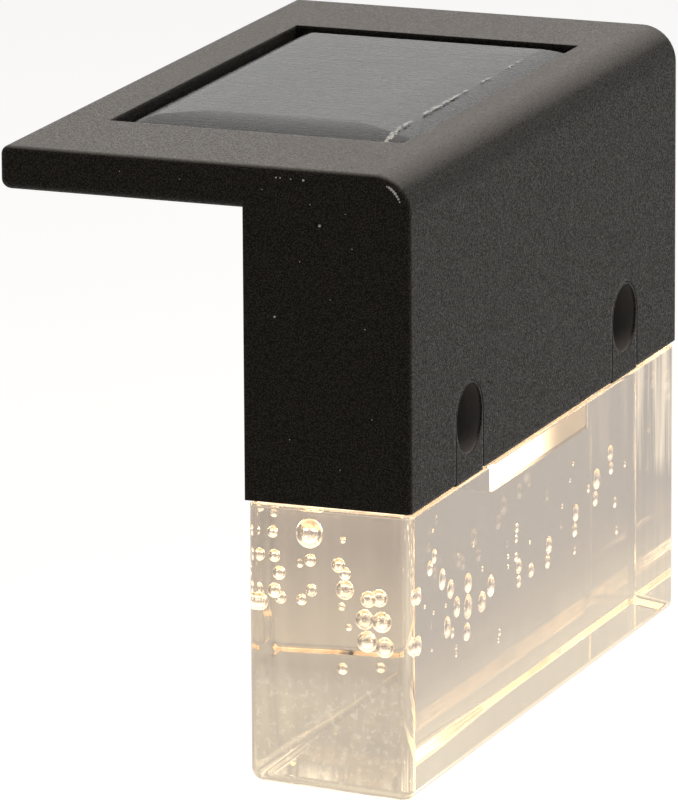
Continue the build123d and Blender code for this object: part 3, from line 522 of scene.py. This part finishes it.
def centre_and_half(low, high):
    """The centre of a box seen from above, and half its length and width."""
    centre = ((low[0] + high[0]) / 2, (low[1] + high[1]) / 2)
    half = ((high[0] - low[0]) / 2, (high[1] - low[1]) / 2)
    return centre, half


def corner_points(centre, half, corner):
    """Places round a rectangle with round corners, each with the direction in which it looks out."""
    points = []
    for index, (sx, sy) in enumerate(((1, 1), (-1, 1), (-1, -1), (1, -1))):
        for step in range(ARC_STEPS + 1):
            angle = math.radians(90 * index + 90 * step / ARC_STEPS)
            out = (math.cos(angle), math.sin(angle))
            x = centre[0] + sx * (half[0] - corner) + corner * out[0]
            y = centre[1] + sy * (half[1] - corner) + corner * out[1]
            points.append((x, y, out))
    return points


def rounded_ring(shape, centre, half, corner, z):
    """One ring of points: a rectangle with round corners, at a height."""
    return [add_point(shape, x, y, z) for x, y, _ in corner_points(centre, half, corner)]


def join_rings(shape, low, high):
    """A band of four-sided faces between two rings of the same number of points."""
    count = len(low)
    for i in range(count):
        shape.faces.new((low[i], low[(i + 1) % count], high[(i + 1) % count], high[i]))


def close_rings(shape, rings):
    """Joins a stack of rings and closes both its ends."""
    for first, second in zip(rings, rings[1:]):
        join_rings(shape, first, second)
    shape.faces.new(list(reversed(rings[0])))
    shape.faces.new(rings[-1])
    bmesh.ops.recalc_face_normals(shape, faces=shape.faces)


def make_piece(shape, name, sharp=None):
    """Turns a worked shape into a piece. It is shaded smooth, with an edge kept where it turns by more
    than sharp degrees, or left flat where sharp isn't given."""
    if sharp is not None:
        for face in shape.faces:
            face.smooth = True
    mesh = bpy.data.meshes.new(name)
    shape.to_mesh(mesh)
    shape.free()
    if sharp is not None:
        mesh.set_sharp_from_angle(angle=math.radians(sharp))
    return link(name, mesh)


def even_shading(piece):
    """Lets the large faces lead the shading, so that narrow bands beside them don't show."""
    weighted = piece.modifiers.new("even_shading", "WEIGHTED_NORMAL")
    weighted.keep_sharp = True


print("a rounded ring has", 4 * (ARC_STEPS + 1), "points")

# %% [markdown]
# ## The light source
# Four small lamps on a white board shine down through an opal cap into the block's pocket. The cap is
# the brightest thing in the picture: nearly white at its near end, and a warm cream past its middle.
# Here the cap itself gives off the light, with a slow change along its length.

# %% Opal cap and lamps
def glowing(name, colour_low, colour_high, strength_low, strength_high, x_from, x_to):
    """Something that gives off warm light, changing along X."""
    material, tree = new_tree(name)
    where = own_places(tree)
    part = split(tree, where)
    along = ramp(tree, part["X"], x_from, x_to, interpolation_type="SMOOTHERSTEP")
    cloud = clouds(tree, where, 160.0)
    colour = mix_colours(tree, along, (*colour_low, 1), (*colour_high, 1))
    body_colour = mix_colours(tree, cloud, (0.78, 0.74, 0.64, 1), (0.86, 0.82, 0.72, 1))
    strength = ramp(tree, along, 0.0, 1.0, strength_low, strength_high)
    principled(tree, {
        "Base Color": body_colour, "Roughness": 0.45, "Emission Color": colour,
        "Emission Strength": strength,
    })
    return material


def add_cap(low, high, corner, edge):
    """The opal cap: a shallow tray turned upside down, with round corners and a soft lower edge."""
    shape = bmesh.new()
    centre, half = centre_and_half(low, high)
    rings = []
    for angle in quarter_turn(5):
        inset = edge * (1 - math.sin(angle))
        size = (half[0] - inset, half[1] - inset)
        z = low[2] + edge * (1 - math.cos(angle))
        rings.append(rounded_ring(shape, centre, size, corner - inset, z))
    rings.append(rounded_ring(shape, centre, half, corner, high[2]))
    close_rings(shape, rings)
    cap = make_piece(shape, "opal_cap", sharp=35)
    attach(cap, "housing")
    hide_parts("light_diffuser")
    return cap


cap_low, cap_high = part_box("light_diffuser")
cap = add_cap(low=(-22.8, -23.7, -15.35), high=(22.8, -4.4, -10.2), corner=1.2, edge=0.4)
cap.data.materials.append(glowing("opal", (1.0, 0.84, 0.56), (1.0, 0.86, 0.6), 30.0, 1.3, cap_low[0], 12 * MM))
dress(["leds"], glowing("led", (1.0, 0.8, 0.4), (1.0, 0.8, 0.4), 3.0, 3.0, cap_low[0], cap_high[0]))
print("the cap glows over", round((cap_high[0] - cap_low[0]) / MM, 1), "mm")


# %% [markdown]
# ## The clear block
# The block is cast from clear acrylic, with its edges polished round and a pocket in its top for the
# opal cap. A bevelled box would do, but here every ring of points is laid one by one: each ring is a
# rounded rectangle, and the rings climb from the flat bottom over the round edge, up the sides, over
# the small top edge and down into the pocket. So the facets stay even where light bends.

# %% Rings of the block
POCKET = (23.1, 9.9, 5.5, 1.5)  # half its length, half its width, its depth and its corners' radius
BACK_POINTS = (50.0, 25.0, 5.0, -4.0, -13.0, -22.0, -31.0, -40.0, -52.0)


def edge_share(x, outward):
    """How much of the full rounding the lower edge has: all of it at the near end and the front, and
    less along the back and at the far end."""
    near = min(max((5.0 - x) / 45.0, 0.0), 1.0)
    back = (0.45 + 0.55 * near * near * (3 - 2 * near)) if outward[1] > 0 else 1.0
    return 1 - (1 - back) * max(outward[1], 0) ** 2 - 0.5 * max(outward[0], 0) ** 2


def side_points(centre, half, edge):
    """The block's outline, with points along its back too, because the rounding changes there."""
    points = corner_points(centre, half, edge)
    back = [(x, centre[1] + half[1], (0.0, 1.0)) for x in BACK_POINTS]
    return points[: ARC_STEPS + 1] + back + points[ARC_STEPS + 1 :]


def block_rings(shape, centre, half, heights, edge, rim, pocket, drop):
    """Lays the rings of the block, from its bottom up the sides to the floor of its pocket.
    The bottom isn't quite square: it is lower at the front by drop."""
    bottom, top = heights
    outline = side_points(centre, half, edge)
    rings = []
    for angle in quarter_turn(ARC_STEPS):
        ring = []
        for x, y, out in outline:
            share = edge_share(x, out)
            inset = min(edge * (1 - math.sin(angle)), edge - 0.06) * share
            lift = edge * (1 - math.cos(angle)) * share
            slope = drop * (y - inset * out[1] - centre[1] + half[1]) / (2 * half[1])
            ring.append(add_point(shape, x - inset * out[0], y - inset * out[1], bottom + lift + slope))
        rings.append(ring)
    for angle in quarter_turn(4):
        inset = rim * (1 - math.cos(angle))
        z = top - rim * (1 - math.sin(angle))
        rings.append([add_point(shape, x - inset * out[0], y - inset * out[1], z) for x, y, out in outline])
    half_length, half_width, depth, corner = pocket
    for z in (top, top - depth):
        ring = []
        for x, y, out in outline:
            reach = half_length - corner
            px = max(min(x - centre[0] - edge * out[0], reach), -reach) + corner * out[0]
            py = math.copysign(half_width - corner, y - centre[1]) + corner * out[1]
            ring.append(add_point(shape, centre[0] + px, centre[1] + py, z))
        rings.append(ring)
    return rings


# %% [markdown]
# ### Bubbles
# The bubbles are the charm of this block. They were stirred in while the resin was liquid, and they
# froze in clusters. Clear plastic bends the view, so a bubble that we see at one spot of a face lies
# off to the side of it, deeper in. Each list below gives where bubbles are seen on a face, in
# millimetres, and their size. The function follows the bent ray inwards from there.
# A bubble is a small sphere turned inside out, so that for light it is air inside plastic.

# %% Bubble places
# On the near end: Y and Z on the face, the bubble's width, and how far behind the face it lies.
END_SEEN = (
    (-16.6, -14.7, 1.0, 5.0), (-15.8, -18.9, 2.3, 5.0), (-16.9, -20.2, 2.0, 7.5), (-16.9, -22.8, 3.1, 5.5),
    (-16.3, -25.6, 1.3, 5.0), (-17.5, -28.9, 1.1, 6.0), (-20.8, -24.0, 2.6, 5.0), (-22.7, -23.7, 2.8, 9.0),
    (-20.2, -27.4, 3.2, 8.0), (-23.1, -27.5, 3.3, 4.5), (-20.6, -30.9, 3.4, 4.5), (-23.6, -31.7, 3.2, 8.0),
    (-16.4, -35.8, 1.8, 6.0), (-22.9, -35.0, 1.6, 6.0),
)
END_DEEP = (
    (-10.9, -14.2, 4.6, 11.5), (-11.0, -18.6, 2.0, 14.0), (-4.6, -14.5, 1.8, 12.0), (-4.9, -18.4, 2.0, 14.0),
    (-5.7, -21.1, 2.2, 11.0), (-4.9, -24.1, 2.4, 13.0), (-5.9, -25.2, 2.0, 16.0), (-2.4, -26.0, 2.8, 5.0),
    (-11.2, -23.5, 2.0, 13.0), (-9.5, -25.2, 1.8, 14.0),
)
# On the front: X and Z on the face, the bubble's width, and how tall it is for its width.
FRONT_SEEN = (
    (-52.3, -18.9, 1.8, 1.35), (-54.2, -20.4, 2.1, 1.2), (-48.8, -23.6, 2.6, 1.35), (-45.1, -26.1, 2.6, 1.2),
    (-42.3, -29.8, 2.6, 1.35), (-37.2, -27.1, 3.0, 1.1), (-37.3, -31.0, 3.2, 1.3), (-37.8, -35.1, 2.8, 1.1),
    (-46.6, -32.0, 2.7, 1.35), (-44.3, -33.6, 1.4, 1.3), (-30.9, -31.8, 3.2, 1.1), (-26.8, -30.2, 3.0, 1.25),
    (-30.6, -26.5, 0.9, 1.1), (-34.7, -21.5, 0.8, 1.1), (-42.6, -36.4, 0.8, 1.2), (-42.6, -37.6, 0.8, 1.2),
    (-22.8, -39.2, 1.1, 1.2), (-23.3, -40.5, 0.8, 1.1), (-52.7, -28.1, 0.7, 1.0), (-56.6, -26.1, 0.7, 1.0),
    (-47.2, -28.4, 0.7, 1.0), (-53.5, -34.0, 0.6, 1.0), (-52.8, -14.6, 0.7, 1.0), (-14.7, -23.6, 1.5, 1.1),
    (-15.0, -25.3, 1.3, 1.1), (-15.1, -28.3, 1.5, 1.1), (-18.7, -27.4, 0.8, 1.0), (-13.8, -30.3, 2.4, 1.1),
    (-13.8, -32.8, 1.9, 1.1), (-8.0, -32.4, 2.3, 1.1), (-18.7, -29.2, 0.8, 1.0), (0.4, -30.2, 2.6, 1.15),
    (-0.2, -32.9, 2.1, 1.15), (-8.6, -27.5, 0.8, 1.0), (6.8, -25.2, 0.9, 1.0), (10.5, -21.7, 0.7, 1.0),
    (12.1, -19.3, 0.8, 1.0), (13.3, -27.9, 2.5, 1.2), (12.8, -30.7, 2.1, 1.15), (12.8, -34.3, 1.1, 1.2),
    (23.5, -24.6, 3.0, 1.2), (22.8, -27.8, 2.3, 1.15), (19.5, -25.3, 1.3, 1.1), (30.2, -21.7, 2.5, 1.1),
    (30.5, -24.4, 1.8, 1.2), (37.4, -25.4, 1.0, 1.1), (32.5, -30.8, 1.5, 1.3), (33.4, -35.9, 1.2, 1.3),
)
# How far the bent ray moves along the face for each millimetre of depth.
END_BEND = (0.2495, -0.1687)
FRONT_BEND = (0.778, -0.207)
END_TALL = 1.05
TRIES = 40


def bubble_centres(low, high, spread):
    """The true centres and radii: seen places followed along the bent ray, kept apart and inside."""
    made = []
    for y, z, across, depth in END_SEEN + END_DEEP:
        made.append(((low[0] + depth, y + END_BEND[0] * depth, z + END_BEND[1] * depth), across / 2, END_TALL))
    for x, z, across, tall in FRONT_SEEN:
        radius = across / 2
        deepest = min(12.0, 0.31 * (x - low[0]))  # close to the near end they stay shallow
        for _ in range(TRIES):
            depth = spread.uniform(radius + 0.5, max(radius + 0.6, deepest))
            place = (x + FRONT_BEND[0] * depth, low[1] + depth, z + FRONT_BEND[1] * depth)
            if all(math.dist(place, other) > 1.1 * (radius + size) for other, size, _ in made):
                made.append((place, radius, tall))
                break
    return made


def add_bubble(shape, glow_layer, centre, radius, tall, light):
    """An inside-out sphere, drawn out upwards as rising bubbles are. It carries a painted glow that
    grows towards its bottom, kept with its points."""
    place = Matrix.Translation(Vector(centre) * MM) @ Matrix.Diagonal((1.0, 1.0, tall, 1.0))
    made = bmesh.ops.create_icosphere(shape, subdivisions=3, radius=radius * MM, matrix=place)
    for vert in made["verts"]:
        # The painted glow: none at the top, growing towards the bottom.
        down = (centre[2] - vert.co.z / MM) / (radius * tall)
        share = min(max((down - 0.15) / 0.6, 0.0), 1.0)
        vert[glow_layer] = light * share * share * (3 - 2 * share)
    faces = {face for vert in made["verts"] for face in vert.link_faces}
    bmesh.ops.reverse_faces(shape, faces=list(faces))
    for face in faces:
        face.material_index = 1


# %% [markdown]
# ### Block material
# Acrylic bends light a little less than window glass does: an index of 1.49. Light crosses two faces on
# its way through, and each takes a little of it. The tint is darker towards the top of the block than at its
# bottom.
# The bubbles' skins take none, so they have a clear material of their own. A very slow wave in the
# faces keeps the far edges from looking ruled. A cloudy casting also scatters the light of the lamps
# in it. That isn't worked out here: the skin gives off light where it shows, at given places.

# %% Acrylic
def clear_material(name, tint_low, tint_high, index, rough, wave, pitch, levels):
    """A clear solid, with a slow wave in its faces and a tint that changes from its bottom to its top."""
    material, tree = new_tree(name)
    where = own_places(tree)
    slow = clouds(tree, where, 1.0 / pitch, 2.0)
    part = split(tree, where)
    rise = ramp(tree, part["Z"], levels[0], levels[1])
    cloudy = compute(tree, "MULTIPLY_ADD", slow, 0.3, rise)
    tint = mix_colours(tree, cloudy, (*tint_low, 1), (*tint_high, 1))
    shape = relief_of(tree, slow, wave)
    principled(tree, {
        "Base Color": tint, "Roughness": rough, "IOR": index, "Transmission Weight": 1.0,
        "Normal": shape,
    })
    return material


def add_painted_block_glow(material, low, high):
    """A painted glow, for the lamp light that the cloudy cast block gives off again: in streaks high on
    the far end, on the upright edge at the near corner, low on the front and in patches on the near end."""
    tree = material.node_tree
    body = next(node for node in tree.nodes if node.type == "BSDF_PRINCIPLED")
    where = own_places(tree)
    x, y, z = split(tree, where)
    upright = add_node(tree, "ShaderNodeMapping", {"Vector": where, "Scale": (1.0, 1.0, 0.07)})
    drawn = clouds(tree, upright.outputs[0], 420.0, 3.0)
    # Each mask below places painted glow on the block's skin.
    far = product(
        tree,
        ramp(tree, x, high[0] - 0.6 * MM, high[0] - 0.2 * MM),
        ramp(tree, drawn, 0.42, 0.66),
        ramp(tree, z, -30 * MM, -34 * MM, 0.8, 0.07),
    )
    corner = product(
        tree,
        ramp(tree, x, low[0] + 1.6 * MM, low[0] + 0.6 * MM),
        ramp(tree, y, low[1] + 1.6 * MM, low[1] + 0.6 * MM),
        ramp(tree, drawn, 0.3, 0.7, 0.02, 0.28),
    )
    front_glow = product(
        tree,
        ramp(tree, x, -15 * MM, -62 * MM),
        ramp(tree, z, -36 * MM, -55 * MM, 0.0, 0.06),
        ramp(tree, y, low[1] + 0.4 * MM, low[1] + 0.1 * MM),
    )
    # A noise that places the patches of painted glow on the near end.
    rubbed = clouds(tree, where, 900.0, 5.0, 0.7)
    near = product(
        tree,
        ramp(tree, x, low[0] + 0.4 * MM, low[0] + 0.1 * MM),
        ramp(tree, z, -36 * MM, -39 * MM, 0.0, 0.1),
        ramp(tree, rubbed, 0.52, 0.72, 0.8, 2.6),
    )
    total = far
    for extra in (corner, front_glow, near):
        total = compute(tree, "ADD", total, extra)
    # The painted glow's warm colour, and its strength from the masks.
    body.inputs["Emission Color"].default_value = (1.0, 0.9, 0.7, 1.0)
    tree.links.new(total, body.inputs["Emission Strength"])
    return material


def bubble_skin():
    """The skin of a bubble: clear, and bright below with a painted glow that stands in for the light inside the
    block.
    """
    material, tree = new_tree("bubble_skin")
    where = own_places(tree)
    # This reads the painted glow laid on the bubbles' points; the skin gives it off as emission.
    glow_layer = add_node(tree, "ShaderNodeAttribute", attribute_name="painted_bubble_glow")
    noise = clouds(tree, where, 1500.0)
    uneven = ramp(tree, noise, 0.3, 0.7, 0.4)
    glow = product(tree, glow_layer.outputs["Fac"], uneven)
    tint = mix_colours(tree, noise, (0.96, 0.95, 0.93, 1), (1, 1, 1, 1))
    principled(tree, {
        "Base Color": tint, "Roughness": 0.0, "IOR": 1.49, "Transmission Weight": 1.0,
        "Emission Color": (1.0, 0.92, 0.74, 1.0), "Emission Strength": glow,
    })
    return material


def add_block(spread):
    """The cast block with its pocket and bubbles, as one mesh."""
    low, high = [[v / MM for v in corner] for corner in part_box("acrylic_block")]
    shape = bmesh.new()
    centre, half = centre_and_half(low, high)
    rings = block_rings(shape, centre, half, (low[2], high[2]), edge=2.2, rim=0.6, pocket=POCKET, drop=1.1)
    close_rings(shape, rings)
    glow_layer = shape.verts.layers.float.new("painted_bubble_glow")
    centres = bubble_centres(low, high, spread)
    for place, radius, tall in centres:
        # The last value is how strong the painted glow on this bubble is.
        add_bubble(shape, glow_layer, place, radius, tall, spread.uniform(0.7, 2.2))
    block = make_piece(shape, "bubble_block", sharp=35)
    acrylic = clear_material(
        "acrylic", tint_low=(0.84, 0.7, 0.49), tint_high=(0.38, 0.318, 0.26), index=1.49, rough=0.0,
        wave=0.006 * MM, pitch=12 * MM, levels=(-55 * MM, -36 * MM),
    )
    block.data.materials.append(add_painted_block_glow(acrylic, *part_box("acrylic_block")))
    block.data.materials.append(bubble_skin())
    even_shading(block)
    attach(block, "housing")
    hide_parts("acrylic_block")
    return block, len(centres)


block, bubble_count = add_block(random.Random(7))
print("block has", bubble_count, "bubbles and", len(block.data.polygons), "faces")


# %% [markdown]
# ### Glue line
# A thin bed of clear glue holds the block to the chassis. It picks up the cap's light and shows as a
# warm line under the hood. Its outer edge wanders a little, as squeezed glue does. The line is bright
# and thin, so it gives off its light itself, a little less towards its ends.

# %% Glue
def glue_material():
    """Clear glue with a painted glow for the cap's light running through it, less towards the ends."""
    material, tree = new_tree("bond")
    where = own_places(tree)
    part = split(tree, where)
    out_from = compute(tree, "ABSOLUTE", part["X"])
    fade = ramp(tree, out_from, 20 * MM, 62 * MM, 2.5, 1.7)
    cloud = clouds(tree, where, 240.0, 3.0)
    streak = ramp(tree, cloud, 0.35, 0.65, 0.5, 1.1)
    glow = product(tree, fade, streak)
    colour = mix_colours(tree, cloud, (0.5, 0.34, 0.18, 1), (0.62, 0.46, 0.28, 1))
    # The emission is a painted glow, a little less towards the ends.
    principled(tree, {
        "Base Color": colour, "Roughness": 0.4, "Emission Color": (1.0, 0.77, 0.5, 1.0),
        "Emission Strength": glow,
    })
    return material


def add_glue(centre_y, half, heights, hole, count=160):
    """A thin bed round the cap whose outer edge wanders."""
    shape = bmesh.new()
    loops = []
    for reach, z in ((0, heights[0]), (1, heights[0]), (1, heights[1]), (0, heights[1])):
        loop = []
        wander = random.Random(3)
        for index in range(count):
            angle = math.tau * index / count
            wave = 0.25 * math.sin(9 * angle) + 0.2 * math.sin(23 * angle + 1) + wander.uniform(-0.08, 0.08)
            size = (half[0] + wave, half[1] + wave) if reach else hole
            across, along = math.cos(angle), math.sin(angle)
            scale = min(size[0] / max(abs(across), 1e-9), size[1] / max(abs(along), 1e-9))
            loop.append(add_point(shape, scale * across, scale * along + centre_y, z))
        loops.append(loop)
    for first, second in zip(loops, loops[1:] + loops[:1]):
        join_rings(shape, first, second)
    bmesh.ops.recalc_face_normals(shape, faces=shape.faces)
    bed = make_piece(shape, "glue_bed")
    bed.data.materials.append(glue_material())
    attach(bed, "housing")
    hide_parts("block_bond")
    return bed


glue_low, glue_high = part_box("block_bond")
glue = add_glue(centre_y=-14.0, half=(61.9, 12.9), heights=(glue_low[2] / MM, glue_high[2] / MM), hole=(24.1, 9.1))
print("glue bed has", len(glue.data.polygons), "faces")


# %% [markdown]
# ## Solar panel
# Four strips of silicon lie on a board, and clear resin is poured over them. The resin pulls itself
# into a low cushion: flat in the middle, with a shoulder that falls to each edge. At the front the
# shoulder is a straight slope that meets the flat in a ridge. Its skin is no longer polished: it has
# fine lines across it, and it is scuffed white along the ridge, where hands rub it most. The cushion
# is a stack of rings whose height is worked out from how far each point lies from the four edges.

# %% Resin cushion
RESIN_LOW, RESIN_HIGH = [[v / MM for v in corner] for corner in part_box("panel_resin")]
RESIN_CORNER = 6.0
RIDGE = 4.3
# How wide each edge's slope is, how far it falls, and how much it bows.
SLOPES = {"near": (12.6, 2.6, 1.7), "far": (5.2, 2.0, 1.4), "front": (RIDGE, 1.0, 1.05), "back": (5.2, 2.1, 1.3)}


def fall(distance, width, drop, bow):
    """How far the resin has fallen at a distance from one edge. With a bow of 1 the slope is straight."""
    return drop * (1 - min(max(distance, 0) / width, 1)) ** bow


def resin_height(x, y):
    """The resin's top at a point, in millimetres."""
    room = {
        "near": x - RESIN_LOW[0], "far": RESIN_HIGH[0] - x, "front": y - RESIN_LOW[1], "back": RESIN_HIGH[1] - y
    }
    falls = [fall(room[side], *slope) for side, slope in SLOPES.items()]
    rim = 0.5 * max(1 - max(min(room.values()), 0) / 0.5, 0) ** 2
    return max(RESIN_HIGH[2] - 0.02 - sum(part**4 for part in falls) ** 0.25 - rim, RESIN_LOW[2] + 0.1)


def add_resin():
    """The cushion as rings that shrink to a spine, so that the corners stay round."""
    shape = bmesh.new()
    centre, half = centre_and_half(RESIN_LOW, RESIN_HIGH)
    rings = [rounded_ring(shape, centre, half, RESIN_CORNER, RESIN_LOW[2])]
    slope_rings = [SLOPES["near"][0] * (step / 36) ** 1.6 for step in range(37)]
    for inset in sorted(slope_rings + [RIDGE - 0.12, RIDGE, 14.5, 16.5, 18.5, 20.5, 22, 23.5]):
        size = (half[0] - inset, half[1] - inset)
        rings.append(rounded_ring(shape, centre, size, max(RESIN_CORNER - inset * 0.5, 0.5), 0))
        for vert in rings[-1]:
            vert.co.z = resin_height(vert.co.x / MM, vert.co.y / MM) * MM
    close_rings(shape, rings)
    cushion = make_piece(shape, "resin_cushion", sharp=50)
    even_shading(cushion)
    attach(cushion, "housing")
    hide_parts("panel_resin")
    return cushion


def resin_material():
    """Clear resin whose skin is rubbed dull, with fine lines along Y."""
    material, tree = new_tree("resin")
    where = own_places(tree)
    drawn = add_node(tree, "ShaderNodeMapping", {"Vector": where, "Scale": (1.0, 0.05, 1.0)})
    lines = clouds(tree, drawn.outputs[0], 2200.0, 4.0, 0.65)
    skin = add_group(tree, grain, {"Pitch": 0.3 * MM})
    tint = mix_colours(tree, lines, (0.62, 0.62, 0.6, 1), (0.8, 0.8, 0.78, 1))
    vary = ramp(tree, lines, 0.0, 1.0, 0.2, 0.36)
    relief = compute(tree, "ADD", lines, skin.outputs["Height"])
    shape = relief_of(tree, relief, 0.02 * MM)
    principled(tree, {
        "Base Color": tint, "Roughness": vary, "IOR": 1.5,
        "Specular Tint": (1.0, 0.9, 0.76, 1.0), "Transmission Weight": 1.0, "Normal": shape,
    })
    return material


cushion = add_resin()
cushion.data.materials.append(resin_material())
print("resin cushion has", len(cushion.data.polygons), "faces")


# %% [markdown]
# ### Cells
# Under the resin lie strips of silicon, nearly black, crossed by fine metal fingers that gather the
# current. Even bands, cut off near their peaks, draw the fingers.

# %% Cells
def silicon_material():
    """Blue-black silicon with fine metal fingers across it."""
    material, tree = new_tree("silicon")
    where = own_places(tree)
    fingers = bands(tree, where, 160.0, "Y")
    thin = ramp(tree, fingers, 0.97)
    noise = clouds(tree, where, 200.0)
    cell = mix_colours(tree, noise, (0.004, 0.005, 0.01, 1), (0.01, 0.012, 0.02, 1))
    colour = mix_colours(tree, thin, cell, (0.07, 0.07, 0.07, 1))
    principled(tree, {"Base Color": colour, "Roughness": 0.3, "Specular IOR Level": 0.4})
    return material


dress(["panel_cells"], silicon_material())
print("cells dressed")


# %% [markdown]
# ### Scuffs
# The white marks are tiny chips raised from the resin. They are real flakes here, a few tenths of a
# millimetre each. They lie in clumps along the front ridge, more of them towards the near end.

# %% Scuffs
def add_flake(shape, x, y, length, width, turn, lift):
    """One thin flake that lies on the resin: six corners round a low peak."""
    base = []
    for index in range(6):
        angle = math.radians(60 * index)
        u = length / 2 * math.cos(angle)
        v = width / 2 * math.sin(angle)
        px = x + u * math.cos(turn) - v * math.sin(turn)
        py = y + u * math.sin(turn) + v * math.cos(turn)
        base.append(add_point(shape, px, py, resin_height(px, py) - 0.01))
    peak = add_point(shape, x, y, resin_height(x, y) + lift)
    for index in range(6):
        shape.faces.new((base[index], base[(index + 1) % 6], peak))
    shape.faces.new(list(reversed(base)))


def add_scuffs(spread, count):
    """Flakes strewn in clumps along the front ridge of the resin."""
    shape = bmesh.new()
    clumps = [spread.random() ** 1.5 for _ in range(26)]
    for _ in range(count):
        along = min(max(spread.choice(clumps) + spread.gauss(0, 0.011), 0.0), 1.0)
        x = RESIN_LOW[0] + 2.0 + along * 66.0
        y = RESIN_LOW[1] + RIDGE + spread.gauss(0.1, 0.14 + 0.3 * math.exp(-along * 14))
        size = spread.uniform(0.1, 0.42) * (1.15 - 0.5 * along)
        add_flake(shape, x, y, size * spread.uniform(1.2, 3.0), size, spread.gauss(0, 0.4), lift=0.03)
    scuffs = make_piece(shape, "resin_scuffs")
    chips = plain("scuffed_resin", (0.4, 0.4, 0.38), (0.75, 0.75, 0.72), 900.0, 0.6, bump=0.02 * MM)
    scuffs.data.materials.append(chips)
    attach(scuffs, "housing")
    return scuffs


scuffs = add_scuffs(random.Random(11), 420)
print("scuffs:", len(scuffs.data.polygons) // 7, "flakes")


# %% [markdown]
# ### Marks on the near end
# The plastic was let into the mould through a small gate in the near end, and the place where it broke
# off still shows as a dimple, which the hood has, with a pale tip in it that is a painted glint. A few
# pale chips sit near it, and a row of pale domes along the edge of the crown is a painted highlight.
# All of these are domes of a few tenths of a millimetre.

# %% Gate mark and specks
def add_dome(shape, y, z, radius, rise, foot):
    """A low dome that looks out of the near end. Its foot stands at foot along X, inside the hood."""
    rings = []
    turns = [math.tau * part / 14 for part in range(14)]
    for angle in quarter_turn(4):
        reach = radius * max(math.cos(angle), 0.05)
        x = foot - rise * math.sin(angle)
        ring = [add_point(shape, x, y + reach * math.cos(turn), z + reach * math.sin(turn)) for turn in turns]
        rings.append(ring)
    close_rings(shape, rings)


def add_marks(gate, specks):
    """The pale tip in the gate's dimple, a painted glint, and the specks, among them a painted highlight along the
    crown's edge, as one mesh.
    """
    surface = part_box("hood")[0][0] / MM + 0.02
    shape = bmesh.new()
    # The gate's tip is a pale dome: a painted glint.
    add_dome(shape, *gate, radius=0.28, rise=0.22, foot=surface + 0.28)
    for y, z, radius in specks:
        add_dome(shape, y, z, radius, rise=0.05, foot=surface)
    for face in shape.faces:
        face.smooth = True
    marks = make_piece(shape, "end_marks")
    speck = plain("speck", (0.35, 0.34, 0.32), (0.6, 0.58, 0.55), 2500.0, 0.35, bump=0.01 * MM)
    marks.data.materials.append(speck)
    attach(marks, "housing")
    return marks


# Y and Z on the near end, in millimetres, and for a speck its radius too.
GATE = (-12.9, 35.75)
SPECKS = (
    (-5.3, 20.6, 0.2), (-5.7, 43.0, 0.16), (-6.4, 43.0, 0.14), (-8.2, 42.9, 0.12), (-10.3, 42.9, 0.22),
    (-18.4, 32.5, 0.1), (-9.6, 29.8, 0.1), (-20.5, 19.8, 0.1), (-14.7, 24.1, 0.08), (-21.6, 5.3, 0.1),
    (-7.7, 0.9, 0.1), (-16.2, -3.3, 0.1), (-3.3, 40.9, 0.09), (20.8, 42.0, 0.09), (10.6, 41.5, 0.08),
    # From (-24.3, 42.95) on, the specks lie along the crown's edge and are a painted highlight.
    (-11.4, 39.1, 0.1), (-17.3, 38.0, 0.09), (-24.3, 42.95, 0.14), (-24.65, 42.8, 0.22), (-25.0, 42.55, 0.27),
    (-25.35, 42.25, 0.24), (-25.65, 41.9, 0.27), (-25.95, 41.5, 0.24), (-26.2, 41.1, 0.2), (-26.4, 40.65, 0.14),
)
marks = add_marks(GATE, SPECKS)
print("marks on the near end:", len(SPECKS) + 1)
